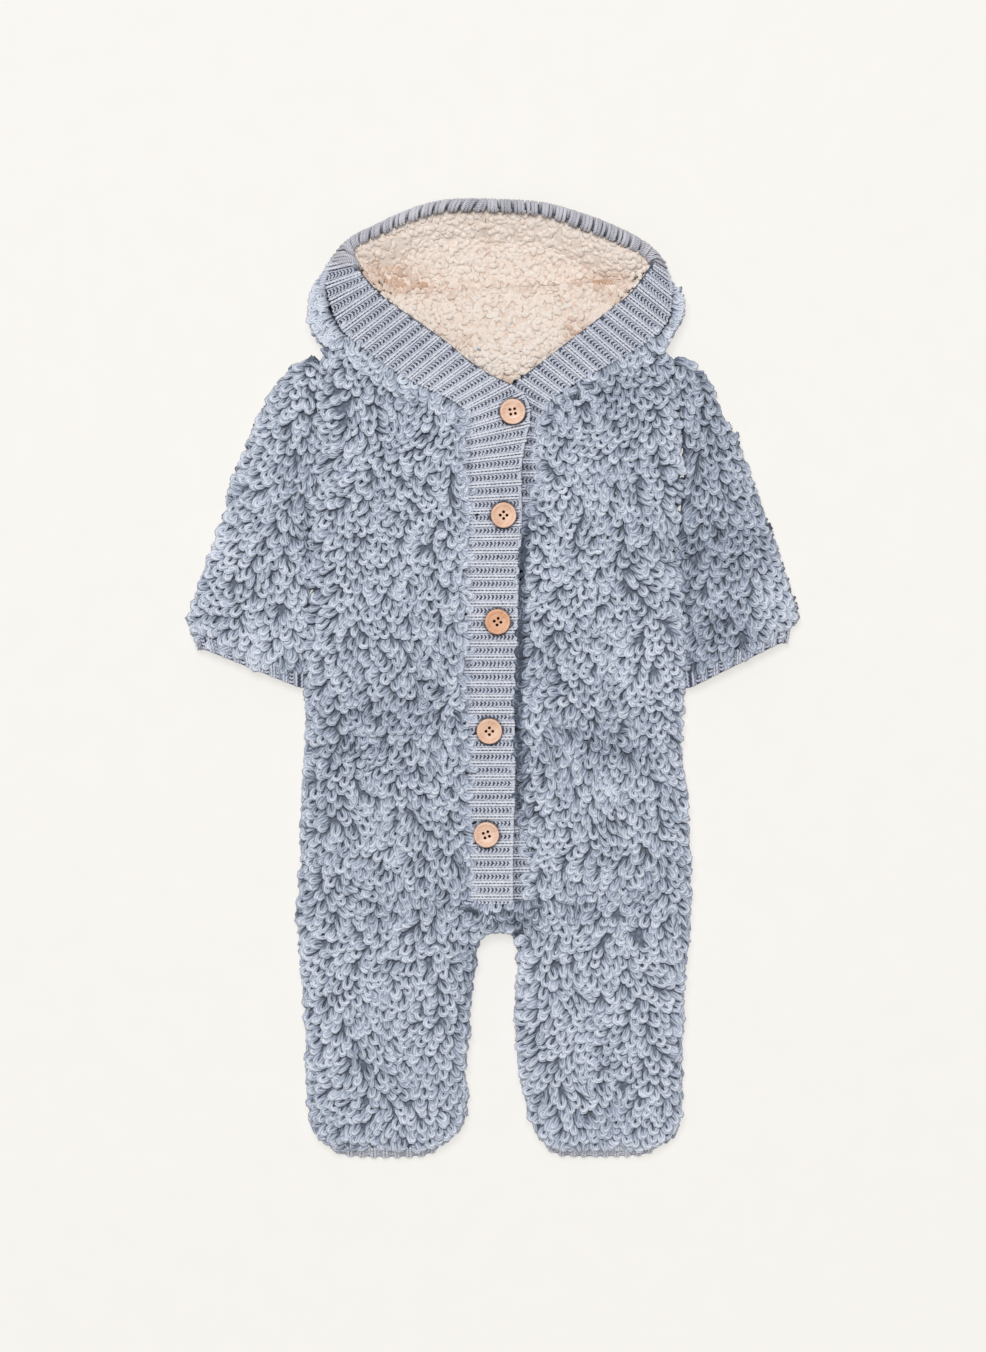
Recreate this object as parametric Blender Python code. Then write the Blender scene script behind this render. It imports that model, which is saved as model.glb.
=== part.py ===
"""Baby's hooded pramsuit in loop-stitch knit, laid flat on its back with its buttons done up.

+Z is up, the hood points to +Y and the feet to -Y. The wearer's right is at -X. The origin is on
the surface it lies on, under the middle of the garment. Every length below is in millimetres.
Each solid reaches to the tips of the knit's loops. The front lies on the back, the button band on
the front of the back panel, and the hood's rib border on its lining.
"""

import math

import bmesh
import bpy
import numpy as np

MM = 0.001

# Layers, from the surface upwards
SEAM = 0.4  # clearance between pieces that are sewn together or lie on each other
BACK_TOP = 12.0  # ground knit with its loops
FRONT_BASE = BACK_TOP + SEAM
FRONT_TOP = 24.0
HOOD_FLOOR = 8.0
LINING_BASE = HOOD_FLOOR + SEAM
UPPER_BAND_BASE = 17.4

# Rib knit of the border, the button bands, the cuffs and the soles
BAND_THICK = 3.0
RIB_PITCH = 10.0
RIB_HEIGHT = 1.5
RIB_STEPS = ((0.0, 0.0), (0.3, 1.0), (0.72, 1.0))  # (share of the pitch, share of the height)
HIDDEN_STEP = 16.0  # section spacing where a band is plain
STRIP_EDGE = 1.3  # the edges of a strip are rounded over about this much
RUN_STEP = 4.0  # a strip's direction is taken between points this far ahead and behind

# Clearance in plan of a front from the strip it is sewn to: where that lies low, where it is raised
# towards the hood, and from the free edge of the strip that lies over it
FRONT_TO_LOW_STRIP, FRONT_TO_RAISED_STRIP, FRONT_TO_FREE_EDGE = 0.9, 1.3, 1.0

# The rolled edges of a front: distances of its grid from the side and from the middle
FRONT_FROM_SIDE = np.array([0, 1.2, 4.5, 10, 18])
FRONT_FROM_MIDDLE = np.array([14, 7, 2, 0])
SIDE_ROUND, SLEEVE_SIDE_ROUND = 18.0, 10.0  # below and beside the sleeve
LEG_ROUND, PLACKET_ROUND = 12.0, 4.0
SLEEVE_FOOT_Y = 90.0
LEAST_FRONT = 0.6

# Buttons
BUTTON_D = 18.0
BUTTON_THICK = 3.6
HOLE_D = 1.8
HOLE_SPACING = 3.2
BUTTON_SIDES, HOLE_SIDES = 20, 6
# The button's profile from the middle of its top: (share of the radius, height below the top)
BUTTON_TOP = ((0.70, 1.0), (0.80, 0.15), (0.92, 0), (1, 1.1))
BUTTON_FOOT = ((1, 1.2), (0.88, 0))  # (share of the radius, height)

HOOD_SEAM_X = -5.0
CROTCH_SEAM_X = 2.5
NECK_Y = 231.0
BAND_END_Y = -158.0
CROTCH_Y = -178.0
TOE_START_Y = -300.0
TOE_Y = -330.5
TOE_ROUND = 14.0
TOE_ROWS = [-304, -312, -318, -323, -327, -329.3, TOE_Y]
OUTLINE_STEP = 13.0
BACK_PROFILE = ((7, 0), (2.5, 2), (0.6, 5.5), (0, 9), (0, BACK_TOP))  # (inset, height)
HOOD_PROFILE = ((2.5, 0), (0, 2.5), (0, HOOD_FLOOR))


def table(columns, rows):
    """Rows of numbers as one array for each named column."""
    return dict(zip(columns.split(), np.array(rows, float).T))


# The line where the front meets the back at the side, which is the armhole down to about y = 75.
SIDE_RIGHT = table("y x", [
    (231, -119.5), (200, -122), (169, -123), (150, -121), (128, -123.5), (105, -127), (75, -126.5),
    (44, -129), (12, -131), (-8, -132), (-20, -130.5), (-40, -131), (-69, -133), (-121, -134.5),
    (-156, -137), (-166, -138), (-184, -135.5), (-217, -133), (-249, -131), (-280, -130),
    (-305, -129), (-315, -126.5), (-322, -122), (-327, -115), (-330.5, -105),
])
SIDE_LEFT = table("y x", [
    (231, 121), (210, 125), (190, 129), (165, 132), (142, 133), (117, 130.5), (100, 128), (85, 127.5),
    (63, 131), (31, 133), (8, 135), (-8, 134), (-18, 131.5), (-28, 132.5), (-51, 131.5), (-66, 133.5),
    (-79, 136), (-121, 137.5), (-161, 138), (-175, 138), (-193, 135.5), (-231, 133), (-268, 132),
    (-305, 132), (-315, 129.5), (-322, 124.5), (-327, 116), (-330.5, 106),
])

# The inner edge of each leg, from the crotch to the toe.
LEG_RIGHT = table("y x", [
    (-178, -7.5), (-182, -9.5), (-193, -12), (-205, -14), (-231, -16), (-250, -17), (-277, -20),
    (-298, -17.5), (-307, -18.5), (-315, -22.5), (-322, -29.5), (-327, -38), (-330.5, -48),
])
LEG_LEFT = table("y x", [
    (-178, 12.5), (-183, 16), (-195, 18.5), (-217, 16), (-246, 16), (-268, 17.5), (-286, 20.5),
    (-300, 24), (-308, 26), (-315, 28.5), (-322, 32), (-327, 38), (-330.5, 47),
])

# The rib border and its button band are one strip on each front. A row is one line across the
# strip, along its ribs, from the free edge to the sewn edge, on the strip's inner face.
STRIP = "free_x free_y free_z sewn_x sewn_y sewn_z"
STRIP_RIGHT = table(STRIP, [
    (-5.3, 325, 37, -5.3, 330.5, 2), (-28, 325, 37, -27.5, 330.5, 2), (-46, 322, 37, -45, 327, 2),
    (-64, 315.5, 36, -62, 321, 3), (-82, 307, 35, -80, 313, 4), (-93, 302, 33, -94, 307, 6),
    (-98, 297, 31, -106, 298, 10), (-96, 290, 29.5, -113, 289, 15), (-92, 283, 28.5, -116.5, 277, 19),
    (-77, 266, 27, -107, 245, 21), (-55, 250, 26, -86, 226, 21), (-35, 236, 25.5, -65, 211, 21),
    (-19, 223, 25, -47, 202, 20.5), (-3, 212, 24, -31, 195, 19.5), (10, 206, 22.5, -22, 189, 18.2),
    (19, 201, 20.2, -19.5, 184, 17.5), (24.5, 194, 18.2, -19, 179, 17.4),
    (26.5, 186, 17.4, -19, 173, 17.4), (25.5, 176, 17.4, -19.5, 166, 17.4),
    (23, 165, 17.4, -20, 158, 17.4), (20.5, 150, 17.4, -20, 146, 17.4),
    (20, 131, 17.4, -18, 129, 17.4), (20.5, 107, 17.4, -16.5, 106, 17.4),
    (19, 82, 17.4, -18.5, 82, 17.4), (18, 59, 17.4, -19, 59, 17.4), (17.5, 30, 17.4, -18.5, 30, 17.4),
    (16, 4, 17.4, -20.5, 4, 17.4), (15, -24, 17.4, -18.5, -24, 17.4),
    (15.5, -50, 17.4, -16.5, -50, 17.4), (15.5, -80, 17.4, -18.5, -80, 17.4),
    (14.5, -102, 17.4, -15.5, -102, 17.4), (14, -124, 17.4, -16.5, -124, 17.4),
    (14, -157.5, 17.4, -16.5, -157.5, 17.4),
])
STRIP_LEFT = table(STRIP, [
    (-4.7, 325, 37, -4.7, 330.5, 2), (26, 323, 37, 26, 329.5, 2), (43, 319.5, 37, 42, 326.5, 2),
    (61, 313, 36, 59, 320, 3), (79, 306, 35, 77, 313.5, 4), (97, 298.5, 33, 96, 305, 6),
    (106, 294, 31, 110, 295, 10), (109, 288, 29.5, 120, 283, 15), (102.5, 277, 28, 123.5, 261, 19),
    (93.5, 266, 27, 120, 246, 20.5), (77, 253, 26, 104.5, 231.5, 21), (60.5, 240.5, 25, 84, 220, 21),
    (46, 229.5, 23.5, 68, 211, 20.5), (31, 218, 21, 52, 202, 18.5), (18.5, 209, 17.5, 41, 194, 15),
    (8, 200, 14, 36, 186, 12.6), (0, 189, 12.4, 34.5, 178, 12.4), (-3, 175, 12.4, 34.5, 170, 12.4),
    (-4, 150, 12.4, 34.5, 150, 12.4), (-4, 134, 12.4, 33.5, 134, 12.4), (-9, 120, 12.4, 27, 120, 12.4),
    (-14, 106, 12.4, 21.3, 106, 12.4), (-15, 82, 12.4, 19.5, 82, 12.4), (-15.5, 59, 12.4, 18.5, 59, 12.4),
    (-15, 30, 12.4, 18, 30, 12.4), (-17, 4, 12.4, 16.5, 4, 12.4), (-15, -24, 12.4, 15.5, -24, 12.4),
    (-13, -50, 12.4, 16, -50, 12.4), (-14, -80, 12.4, 16.5, -80, 12.4),
    (-12, -102, 12.4, 23, -102, 12.4), (-12, -116, 12.4, 27, -116, 12.4),
    (-12, -157.5, 12.4, 26.5, -157.5, 12.4),
])
# Under this stretch of the upper band the lower one can't be seen, and it is plain.
HIDDEN_RIBS = (95.0, -96.0)

# Sleeves: the outer edge, and the height of the inner edge on the side line.
SLEEVE = "outer_x outer_y inner_y top"
SLEEVE_RIGHT = table(SLEEVE, [
    (-127, 227, 219, 15), (-139, 220, 204, 20), (-151, 207, 187, 23), (-160, 190.5, 169, 23),
    (-168, 175, 152, 23), (-175, 157, 134, 23), (-182, 140, 117, 23), (-188, 116, 95, 23),
    (-195, 96, 76, 23), (-203.5, 70, 52, 23), (-211.5, 48, 27, 23), (-213.5, 39, 12, 22),
    (-212.5, 31, 0, 20),
])
SLEEVE_LEFT = table(SLEEVE, [
    (130, 226, 219, 15), (144, 217, 204, 20), (153, 204, 187, 23), (162, 183.5, 168, 23),
    (172, 165, 151, 23), (177.5, 149, 134, 23), (184.5, 131, 117, 23), (191.5, 109, 96, 23),
    (199.5, 88, 75, 23), (206.5, 67, 52, 23), (213, 50, 29, 23), (213.5, 43, 14, 22),
    (211, 37, 1, 20),
])
# A sleeve's section: (distance from its nearest edge, height as it is, height as a share of the top),
# from the underside's outer end over the top to the underside's inner end. Only one height is used.
SLEEVE_OUTER = ((8, 0, 0), (2, 2.5, 0), (0, 9, 0), (1.5, 0, 0.66), (6, 0, 0.88), (15, 0, 0.98))
SLEEVE_INNER = ((12, 0, 0.97), (4, 0, 0.85), (0.6, 0, 0.6), (0, 9, 0), (1.5, 3, 0), (6, 0, 0))
SLOT_EDGE = 9.0  # the hollow ends this far inside the sleeve's edges
SLOT_Z, SLOT_HEIGHT = 10.2, 1.6
FIRST_SLOT = 6  # the section where the hollow starts
# Cuffs: the line where the sleeve's loops end, and the cuff's edge.
CUFF = "outer_x outer_y inner_x inner_y"
CUFF_RIGHT = table(CUFF, [(-210.5, 30, -134, 0), (-209.5, 27, -134, -3), (-208.5, 22.5, -134, -8)])
CUFF_LEFT = table(CUFF, [(209, 35.5, 136.5, 1), (208.5, 32.5, 137, -3), (207.5, 27.5, 137.5, -8)])
CUFF_LOW, CUFF_HIGH = 4.0, 17.0
CUFF_WALL = 2.6
CUFF_RIBS = 9  # on each face
CUFF_RIB_HEIGHT = 1.1
CUFF_TURN = (0.7, 0.6)  # the corner's place, as shares of the half height outwards and upwards

# Hood: the plate that lies on the surface, and the fold that comes up round its side to the strip.
HOOD_PLATE_RIGHT = table("x y", [
    (-5.3, 231.6), (-5.3, 328.5), (-28, 328.3), (-46, 324.8), (-64, 318.3), (-82, 310), (-95, 303),
    (-106, 293), (-117, 283), (-123, 274), (-126, 262), (-126, 250), (-122, 241), (-116, 231.6),
])
HOOD_PLATE_LEFT = table("x y", [
    (-4.7, 231.6), (-4.7, 328.5), (26, 327.5), (43, 324), (61, 317.3), (79, 310.8), (95, 302.5),
    (107, 292), (119, 281), (127, 272), (130, 262), (129, 250), (125, 241), (117, 231.6),
])
FOLD = "edge_x edge_y rim_x rim_y rim_z rise"
HOOD_FOLD_RIGHT = table(FOLD, [
    (-117, 285, -113.5, 281, 12, 0.6), (-124, 279, -119.5, 275, 18, 0.9), (-129, 264, -118, 262, 20, 1),
    (-130, 250, -113.5, 250, 21, 1), (-126, 241, -107.5, 240, 21, 1), (-120, 231.6, -99, 231.6, 21, 1),
])
HOOD_FOLD_LEFT = table(FOLD, [
    (119, 284, 116, 280, 12, 0.6), (129, 275, 126.8, 272, 18, 0.9), (134, 263, 126.6, 259, 20, 1),
    (133.5, 254, 124.6, 251, 21, 1), (129, 244, 118.2, 242.5, 21, 1), (121.5, 231.6, 108, 231.6, 21, 1),
])

# The fold's section from its outer edge: the outside as (distance, share of the height), then the
# inside. The rim is RIM_ABOVE over and RIM_BELOW under the line it reaches.
FOLD_FOOT = ((7, 0), (1.5, 2.5))
FOLD_OUTSIDE = ((0, 11), (2.5, 19))
FOLD_INSIDE = (9.5, 14.5)
FOLD_FLOOR = 9
RIM_ABOVE, RIM_BELOW = 2.0, 2.4

# Lining: the crown from the top arc to under the nape's fold, and the nape from that fold to the
# foot of the V. Each row of the nape is a line across, from the wearer's right to the left.
CROWN_ARC = table("x y", [
    (-105, 281), (-99, 294), (-82, 308), (-64, 316), (-46, 322.5), (-28, 326), (-5, 326),
    (26, 325), (43, 321.5), (61, 315), (79, 308.5), (97, 299.5), (106, 291), (111, 283),
])
CROWN_TOP, CROWN_LOW = 23.0, 11.8
CROWN_UNDER_NAPE = 12.0
CROWN_ROWS = (0, 0.06, 0.18, 0.36, 0.6, 0.85, 1)  # shares of the way from the arc to the nape's fold
CROWN_ROUND, CROWN_SIDE_ROUND, NAPE_ROUND = 7.0, 16.0, 8.0
SEAM_DEPTH, SEAM_HALF_WIDTH = 1.6, 4.0
LEAST_CROWN, LEAST_NAPE = 0.8, 0.4
NAPE = table("left_x left_y right_x right_y top", [
    (-97, 266, 112, 280, 15.5), (-94, 263, 110, 277, 19), (-86, 256, 102, 267, 20.2),
    (-68, 243, 84, 250, 20.2), (-48, 230, 62, 234, 19.5), (-30, 220, 44, 223.5, 18),
    (-16, 214, 30, 216.5, 15), (-6, 211.5, 20, 213, 12.9),
])

# Sole strips: a row for each section along the toe.
SOLE = "x width low high"
SOLE_RIGHT = table(SOLE, [
    (-113, 2.2, 6, 12), (-104, 3.8, 3, 16), (-90, 5, 2, 17), (-76, 5.2, 2, 17.5), (-60, 5, 2, 17.5),
    (-47, 4, 3, 16), (-38, 2.4, 6, 12),
])
SOLE_LEFT = table(SOLE, [
    (37, 2.4, 6, 12), (47, 4, 3, 16), (60, 4.6, 2, 17.5), (76, 4.8, 2, 17.5), (92, 4.4, 2, 17),
    (105, 3.6, 3, 16), (114, 2.2, 6, 12),
])
SOLE_RIB = 5.0
SOLE_RIB_HEIGHT = 0.7
SOLE_FROM_TOE = 1.2
SOLE_EDGE = 1.2

# Soft folds of the fronts: a trough from one end to the other.
CREASES = table("x0 y0 x1 y1 depth half_width", [
    (-108, -18, -30, -24, 3.0, 9), (-95, -44, -25, -40, 2.5, 8), (42, -31, 98, -36, 4.0, 8),
    (18, -9, 36, -9, 3.0, 7), (58, -156, 131, -156, 3.5, 7), (-136, -172, -20, -176, 3.0, 8),
    (22, -178, 136, -172, 3.0, 8), (-116, 200, -60, 170, 2.0, 12), (60, 185, 118, 205, 2.0, 12),
])

BUTTONS = table("x y lift turn", [
    (13.7, 185.3, 1.4, 10), (7.4, 113.2, 0, 45), (3.2, 39.0, 0, 35), (-2.5, -37.3, 0, 45),
    (-4.6, -109.4, 0, 20),
])


def principled(name, colour, roughness):
    """A material with the part's colour, given as the photo shows it."""
    material = bpy.data.materials.new(name)
    material.use_nodes = True
    shader = material.node_tree.nodes["Principled BSDF"]
    linear = [((c / 255 + 0.055) / 1.055) ** 2.4 for c in colour]
    shader.inputs["Base Color"].default_value = (*linear, 1)
    shader.inputs["Roughness"].default_value = roughness
    shader.inputs["Metallic"].default_value = 0
    material.diffuse_color = (*linear, 1)
    return material


def smooth(points, steps):
    """A Catmull-Rom curve through the rows of points, with `steps` points to a span."""
    points = np.asarray(points, float)
    padded = np.vstack([2 * points[0] - points[1], points, 2 * points[-1] - points[-2]])
    curve = []
    for a, b, c, d in zip(padded, padded[1:], padded[2:], padded[3:]):
        for t in np.arange(steps) / steps:
            curve.append(
                0.5 * (2 * b + (c - a) * t + (2 * a - 5 * b + 4 * c - d) * t**2
                       + (3 * b - a - 3 * c + d) * t**3)
            )
    return np.vstack([curve, points[-1:]])


def smooth_columns(rows, steps):
    """The same, for a table."""
    curve = smooth(np.column_stack(list(rows.values())), steps)
    return dict(zip(rows, curve.T))


def x_at(line, y):
    """Where a line that only goes down crosses the height y."""
    return np.interp(-np.asarray(y, float), -line["y"], line["x"])


def offset(line, distance):
    """An open line in plan moved sideways, to the left of its direction."""
    run = np.gradient(line, axis=0)
    run /= np.linalg.norm(run, axis=1)[:, None]
    return line + distance * np.column_stack([-run[:, 1], run[:, 0]])


def inset(outline, distance):
    """A closed anticlockwise outline moved inwards along its corners' mean normals."""
    run = np.roll(outline, -1, axis=0) - np.roll(outline, 1, axis=0)
    run /= np.linalg.norm(run, axis=1)[:, None]
    return outline + distance * np.column_stack([-run[:, 1], run[:, 0]])


def at_height(outline, z):
    return np.column_stack([outline, np.full(len(outline), z)])


def add_solid(name, verts, faces, material, sharp_angle=50):
    """One closed mesh, in place, from points in millimetres."""
    mesh = bpy.data.meshes.new(name)
    mesh.from_pydata((np.asarray(verts, float) * MM).tolist(), [], faces)
    edit = bmesh.new()
    edit.from_mesh(mesh)
    bmesh.ops.recalc_face_normals(edit, faces=edit.faces)
    edit.to_mesh(mesh)
    edit.free()
    mesh.shade_smooth()
    mesh.set_sharp_from_angle(angle=math.radians(sharp_angle))
    mesh.materials.append(material)
    solid = bpy.data.objects.new(name, mesh)
    bpy.context.scene.collection.objects.link(solid)
    return solid


def ring_faces(first, second, count):
    """Quads between two closed rings whose points start at these indices."""
    return [
        (first + i, first + (i + 1) % count, second + (i + 1) % count, second + i) for i in range(count)
    ]


def loft(name, rings, material):
    """A solid through closed rings with as many points each, capped at both ends."""
    count = len(rings[0])
    faces = [tuple(range(count))]
    for k in range(len(rings) - 1):
        faces += ring_faces(k * count, (k + 1) * count, count)
    faces.append(tuple(range((len(rings) - 1) * count, len(rings) * count)))
    return add_solid(name, np.vstack(rings), faces, material)


def laid_piece(name, top, base, material):
    """A piece of cloth lying on a flat layer: a grid of top points over a flat underside."""
    rows, columns = top.shape[:2]
    faces = [
        (r * columns + c, r * columns + c + 1, (r + 1) * columns + c + 1, (r + 1) * columns + c)
        for r in range(rows - 1)
        for c in range(columns - 1)
    ]
    rim = list(range(columns))
    rim += [r * columns + columns - 1 for r in range(1, rows)]
    rim += [(rows - 1) * columns + c for c in range(columns - 2, -1, -1)]
    rim += [r * columns for r in range(rows - 2, 0, -1)]
    points = top.reshape(-1, 3)
    under = points[rim].copy()
    under[:, 2] = base
    first = len(points)
    for k in range(len(rim)):
        following = (k + 1) % len(rim)
        faces.append((rim[k], rim[following], first + following, first + k))
    faces.append(tuple(range(first, first + len(rim))))
    return add_solid(name, np.vstack([points, under]), faces, material)


def rounded(distance, radius):
    """The height of a cloth's rolled edge, as a share of its full height."""
    reach = np.clip(distance / radius, 0, 1)
    return 0.3 + 0.7 * np.sqrt(1 - (1 - reach) ** 2)


def crease_depth(x, y):
    depth = 0.0
    for x0, y0, x1, y1, deep, half_width in zip(*CREASES.values()):
        length = math.hypot(x1 - x0, y1 - y0)
        along = ((x - x0) * (x1 - x0) + (y - y0) * (y1 - y0)) / length**2
        nearest = np.clip(along, 0, 1)
        apart = math.hypot(x - x0 - nearest * (x1 - x0), y - y0 - nearest * (y1 - y0))
        depth += deep * math.exp(-((apart / half_width) ** 2))
    return depth


def strip_lines(strip):
    """The free and the sewn edge of a strip as smooth lines, and the length along its middle."""
    curve = smooth_columns(strip, 16)
    free = np.column_stack([curve["free_x"], curve["free_y"], curve["free_z"]])
    sewn = np.column_stack([curve["sewn_x"], curve["sewn_y"], curve["sewn_z"]])
    middle = (free + sewn) / 2
    length = np.concatenate([[0], np.cumsum(np.linalg.norm(np.diff(middle, axis=0), axis=1))])
    return free, sewn, length


def point_at(line, length, along):
    """The point of a line at a distance along it."""
    return np.array([np.interp(along, length, line[:, k]) for k in range(3)])


def rib_sections(strip, hidden):
    """(distance along the strip, rib height) for each section, with none raised where hidden."""
    free, _, length = strip_lines(strip)
    sections = [(0.0, 0.0)]
    along = 0.0
    while along < length[-1] - RIB_PITCH:
        y = np.interp(along, length, free[:, 1])
        if hidden and hidden[0] > y > hidden[1]:
            sections.append((along + HIDDEN_STEP, 0.0))
            along += HIDDEN_STEP
            continue
        steps = ((along + share * RIB_PITCH, height) for share, height in RIB_STEPS)
        sections += [step for step in steps if step[0] > 0]
        along += RIB_PITCH
    return sections + [(length[-1], 0.0)]


def add_strip(name, strip, side, material, hidden=None):
    """A rib-knit strip. side is 1 for the wearer's right and -1 for the left."""
    free, sewn, length = strip_lines(strip)
    middle = (free + sewn) / 2
    rings = []
    for along, height in rib_sections(strip, hidden):
        a, b = point_at(sewn, length, along), point_at(free, length, along)
        ahead = point_at(middle, length, min(along + RUN_STEP, length[-1]))
        behind = point_at(middle, length, max(along - RUN_STEP, 0))
        width = np.linalg.norm(b - a)
        across = (b - a) / width
        out = side * np.cross(ahead - behind, across)
        out /= np.linalg.norm(out)
        rib = RIB_HEIGHT * height
        section = (
            (1, 0), (width - 1, 0), (width, 1.1), (width - STRIP_EDGE, BAND_THICK - 0.4 + 0.7 * rib),
            (0.66 * width, BAND_THICK + rib), (0.33 * width, BAND_THICK + rib),
            (STRIP_EDGE + 0.5, BAND_THICK - 0.5 + 0.7 * rib), (0, STRIP_EDGE),
        )
        rings.append([a + s * across + h * out for s, h in section])
    return loft(name, rings, material)


def middle_edge(strip, side, over=None):
    """A front's edge along its strip, and clear of the strip that lies over it."""
    _, sewn, _ = strip_lines(strip)
    raised = sewn[:, 2] > UPPER_BAND_BASE + 0.2
    clearance = np.where(raised, FRONT_TO_RAISED_STRIP, FRONT_TO_LOW_STRIP)
    line = offset(sewn[:, :2], side * -clearance[:, None])
    keep = (line[:, 1] < NECK_Y + 6) & (line[:, 1] > BAND_END_Y)
    edge = {"y": line[keep, 1], "x": line[keep, 0]}
    if over is None:
        return edge
    free, _, _ = strip_lines(over)
    reach = x_at({"y": free[:, 1], "x": free[:, 0]}, edge["y"])
    return {"y": edge["y"], "x": np.maximum(edge["x"], reach + FRONT_TO_FREE_EDGE)}


def front_rows(side_line, middle, leg, side):
    """(y, x at the side, x at the middle) for each section of a front, from the neck to the toe."""
    heights = list(np.arange(NECK_Y, BAND_END_Y, -12))
    heights += [BAND_END_Y - 0.3, BAND_END_Y - 0.8, -168, CROTCH_Y + 0.4, CROTCH_Y - 0.2]
    heights += list(np.arange(CROTCH_Y - 10, TOE_START_Y, -14))
    heights += TOE_ROWS
    rows = []
    for y in heights:
        if y > BAND_END_Y - 0.5:
            inner = x_at(middle, max(y, middle["y"][-1]))
        elif y > CROTCH_Y:
            inner = CROTCH_SEAM_X - side * SEAM / 2
        else:
            inner = x_at(leg, y)
        rows.append((y, float(x_at(side_line, y)) + side * SEAM / 2, float(inner)))
    return rows


def add_front(name, side_line, middle, leg, side, material):
    """One front with its leg, from the shoulder to the toe. side is 1 for the wearer's right."""
    top = []
    for y, side_x, middle_x in front_rows(side_line, middle, leg, side):
        width = abs(middle_x - side_x)
        scale = min(1, width / 60)  # the rolled edges narrow with the leg's toe
        from_side = FRONT_FROM_SIDE * scale
        from_middle = FRONT_FROM_MIDDLE * scale
        between = np.linspace(from_side[-1], width - from_middle[0], 5)[1:-1]
        distances = np.concatenate([from_side, between, width - from_middle])
        radius_side = SIDE_ROUND if y < SLEEVE_FOOT_Y else SLEEVE_SIDE_ROUND
        radius_middle = LEG_ROUND if y < CROTCH_Y else PLACKET_ROUND
        row = []
        for distance in distances:
            x = side_x + side * distance
            share = rounded(distance, radius_side * scale)
            share *= rounded(width - distance, radius_middle * scale)
            share *= rounded(y - TOE_Y, TOE_ROUND)
            height = (FRONT_TOP - FRONT_BASE) * share - crease_depth(x, y)
            row.append((x, y, FRONT_BASE + max(height, LEAST_FRONT)))
        top.append(row)
    return laid_piece(name, np.array(top), FRONT_BASE, material)


def body_outline():
    """The outline of torso and legs, anticlockwise from the neck's right end."""
    heights = np.concatenate([np.arange(NECK_Y, TOE_START_Y, -OUTLINE_STEP), TOE_ROWS])
    legs = np.arange(CROTCH_Y - 10, TOE_START_Y, -OUTLINE_STEP)
    legs = np.concatenate([[CROTCH_Y, CROTCH_Y - 3], legs, TOE_ROWS])
    right_side = [(float(x_at(SIDE_RIGHT, y)), y) for y in heights]
    right_leg = [(float(x_at(LEG_RIGHT, y)), y) for y in legs[::-1]]
    left_leg = [(float(x_at(LEG_LEFT, y)), y) for y in legs]
    left_side = [(float(x_at(SIDE_LEFT, y)), y) for y in heights[::-1]]
    return np.array(right_side + right_leg + left_leg + left_side)


def slab_rings(outline, profile):
    """Rings of a flat piece: (inset, height) for each."""
    return [at_height(inset(outline, distance), z) for distance, z in profile]


def add_sleeve(name, rows, side_line, side, material):
    """A flattened sleeve, open at the cuff."""
    sections = smooth_columns(rows, 2)
    outer_rings, inner_rings = [], []
    for outer_x, outer_y, inner_y, top in zip(*sections.values()):
        start = np.array([outer_x, outer_y, 0])
        end = np.array([float(x_at(side_line, inner_y)) - side * SEAM, inner_y, 0])
        width = np.linalg.norm(end - start)
        across = (end - start) / width
        scale = min(1, width / 50)  # the rounding narrows with the shoulder's end
        outline = [(d * scale, z + share * top) for d, z, share in SLEEVE_OUTER]
        outline.append((0.5 * width, top))
        outline += [(width - d * scale, z + share * top) for d, z, share in SLEEVE_INNER]
        outer_rings.append([start + d * across + np.array([0, 0, z]) for d, z in outline])
        edge = SLOT_EDGE * scale
        slot = []
        for d, z in outline:
            inward = min(max(d, edge), width - edge) + 0.06 * (d - width / 2)
            slot.append(start + inward * across + np.array([0, 0, SLOT_Z + SLOT_HEIGHT * z / top]))
        inner_rings.append(slot)
    count = len(outer_rings[0])
    slots = inner_rings[FIRST_SLOT:]
    last = (len(outer_rings) - 1) * count
    slot_start = len(outer_rings) * count
    faces = [tuple(range(count))]
    for k in range(len(outer_rings) - 1):
        faces += ring_faces(k * count, (k + 1) * count, count)
    for k in range(len(slots) - 1):
        faces += ring_faces(slot_start + k * count, slot_start + (k + 1) * count, count)
    faces.append(tuple(range(slot_start, slot_start + count)))
    faces += ring_faces(last, slot_start + (len(slots) - 1) * count, count)
    return add_solid(name, np.vstack(outer_rings + slots), faces, material)


def add_cuff(name, rows, material):
    """The narrow rib edge of a sleeve: a flattened ring with its ribs along the sleeve."""
    middle_z = (CUFF_LOW + CUFF_HIGH) / 2
    half_height = (CUFF_HIGH - CUFF_LOW) / 2
    outer, inner = [], []
    for outer_x, outer_y, inner_x, inner_y in zip(*rows.values()):
        start = np.array([outer_x, outer_y, middle_z])
        end = np.array([inner_x, inner_y, middle_z])
        width = np.linalg.norm(end - start)
        across = (end - start) / width
        flat = width - 2 * half_height
        pitch = flat / CUFF_RIBS
        for ring, wall in ((outer, 0), (inner, CUFF_WALL)):
            points = []
            for face in (1, -1):
                for k in range(CUFF_RIBS * 2 + 1):
                    share = k / 2 * pitch
                    along = half_height + (share if face > 0 else flat - share)
                    rib = 0 if k % 2 == 0 or wall else CUFF_RIB_HEIGHT
                    points.append((along, face * (half_height - wall - CUFF_RIB_HEIGHT + rib)))
                turn = (width - half_height) if face > 0 else half_height
                out, up = (face * share * (half_height - wall) for share in CUFF_TURN)
                points += [(turn + out, up), (turn + out, -up)]
            ring.append([start + d * across + np.array([0, 0, z]) for d, z in points])
    count = len(outer[0])
    rings = outer + inner[::-1]
    faces = []
    for k in range(len(rings)):
        faces += ring_faces(k * count, (k + 1) % len(rings) * count, count)
    return add_solid(name, np.vstack(rings), faces, material)


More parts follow.
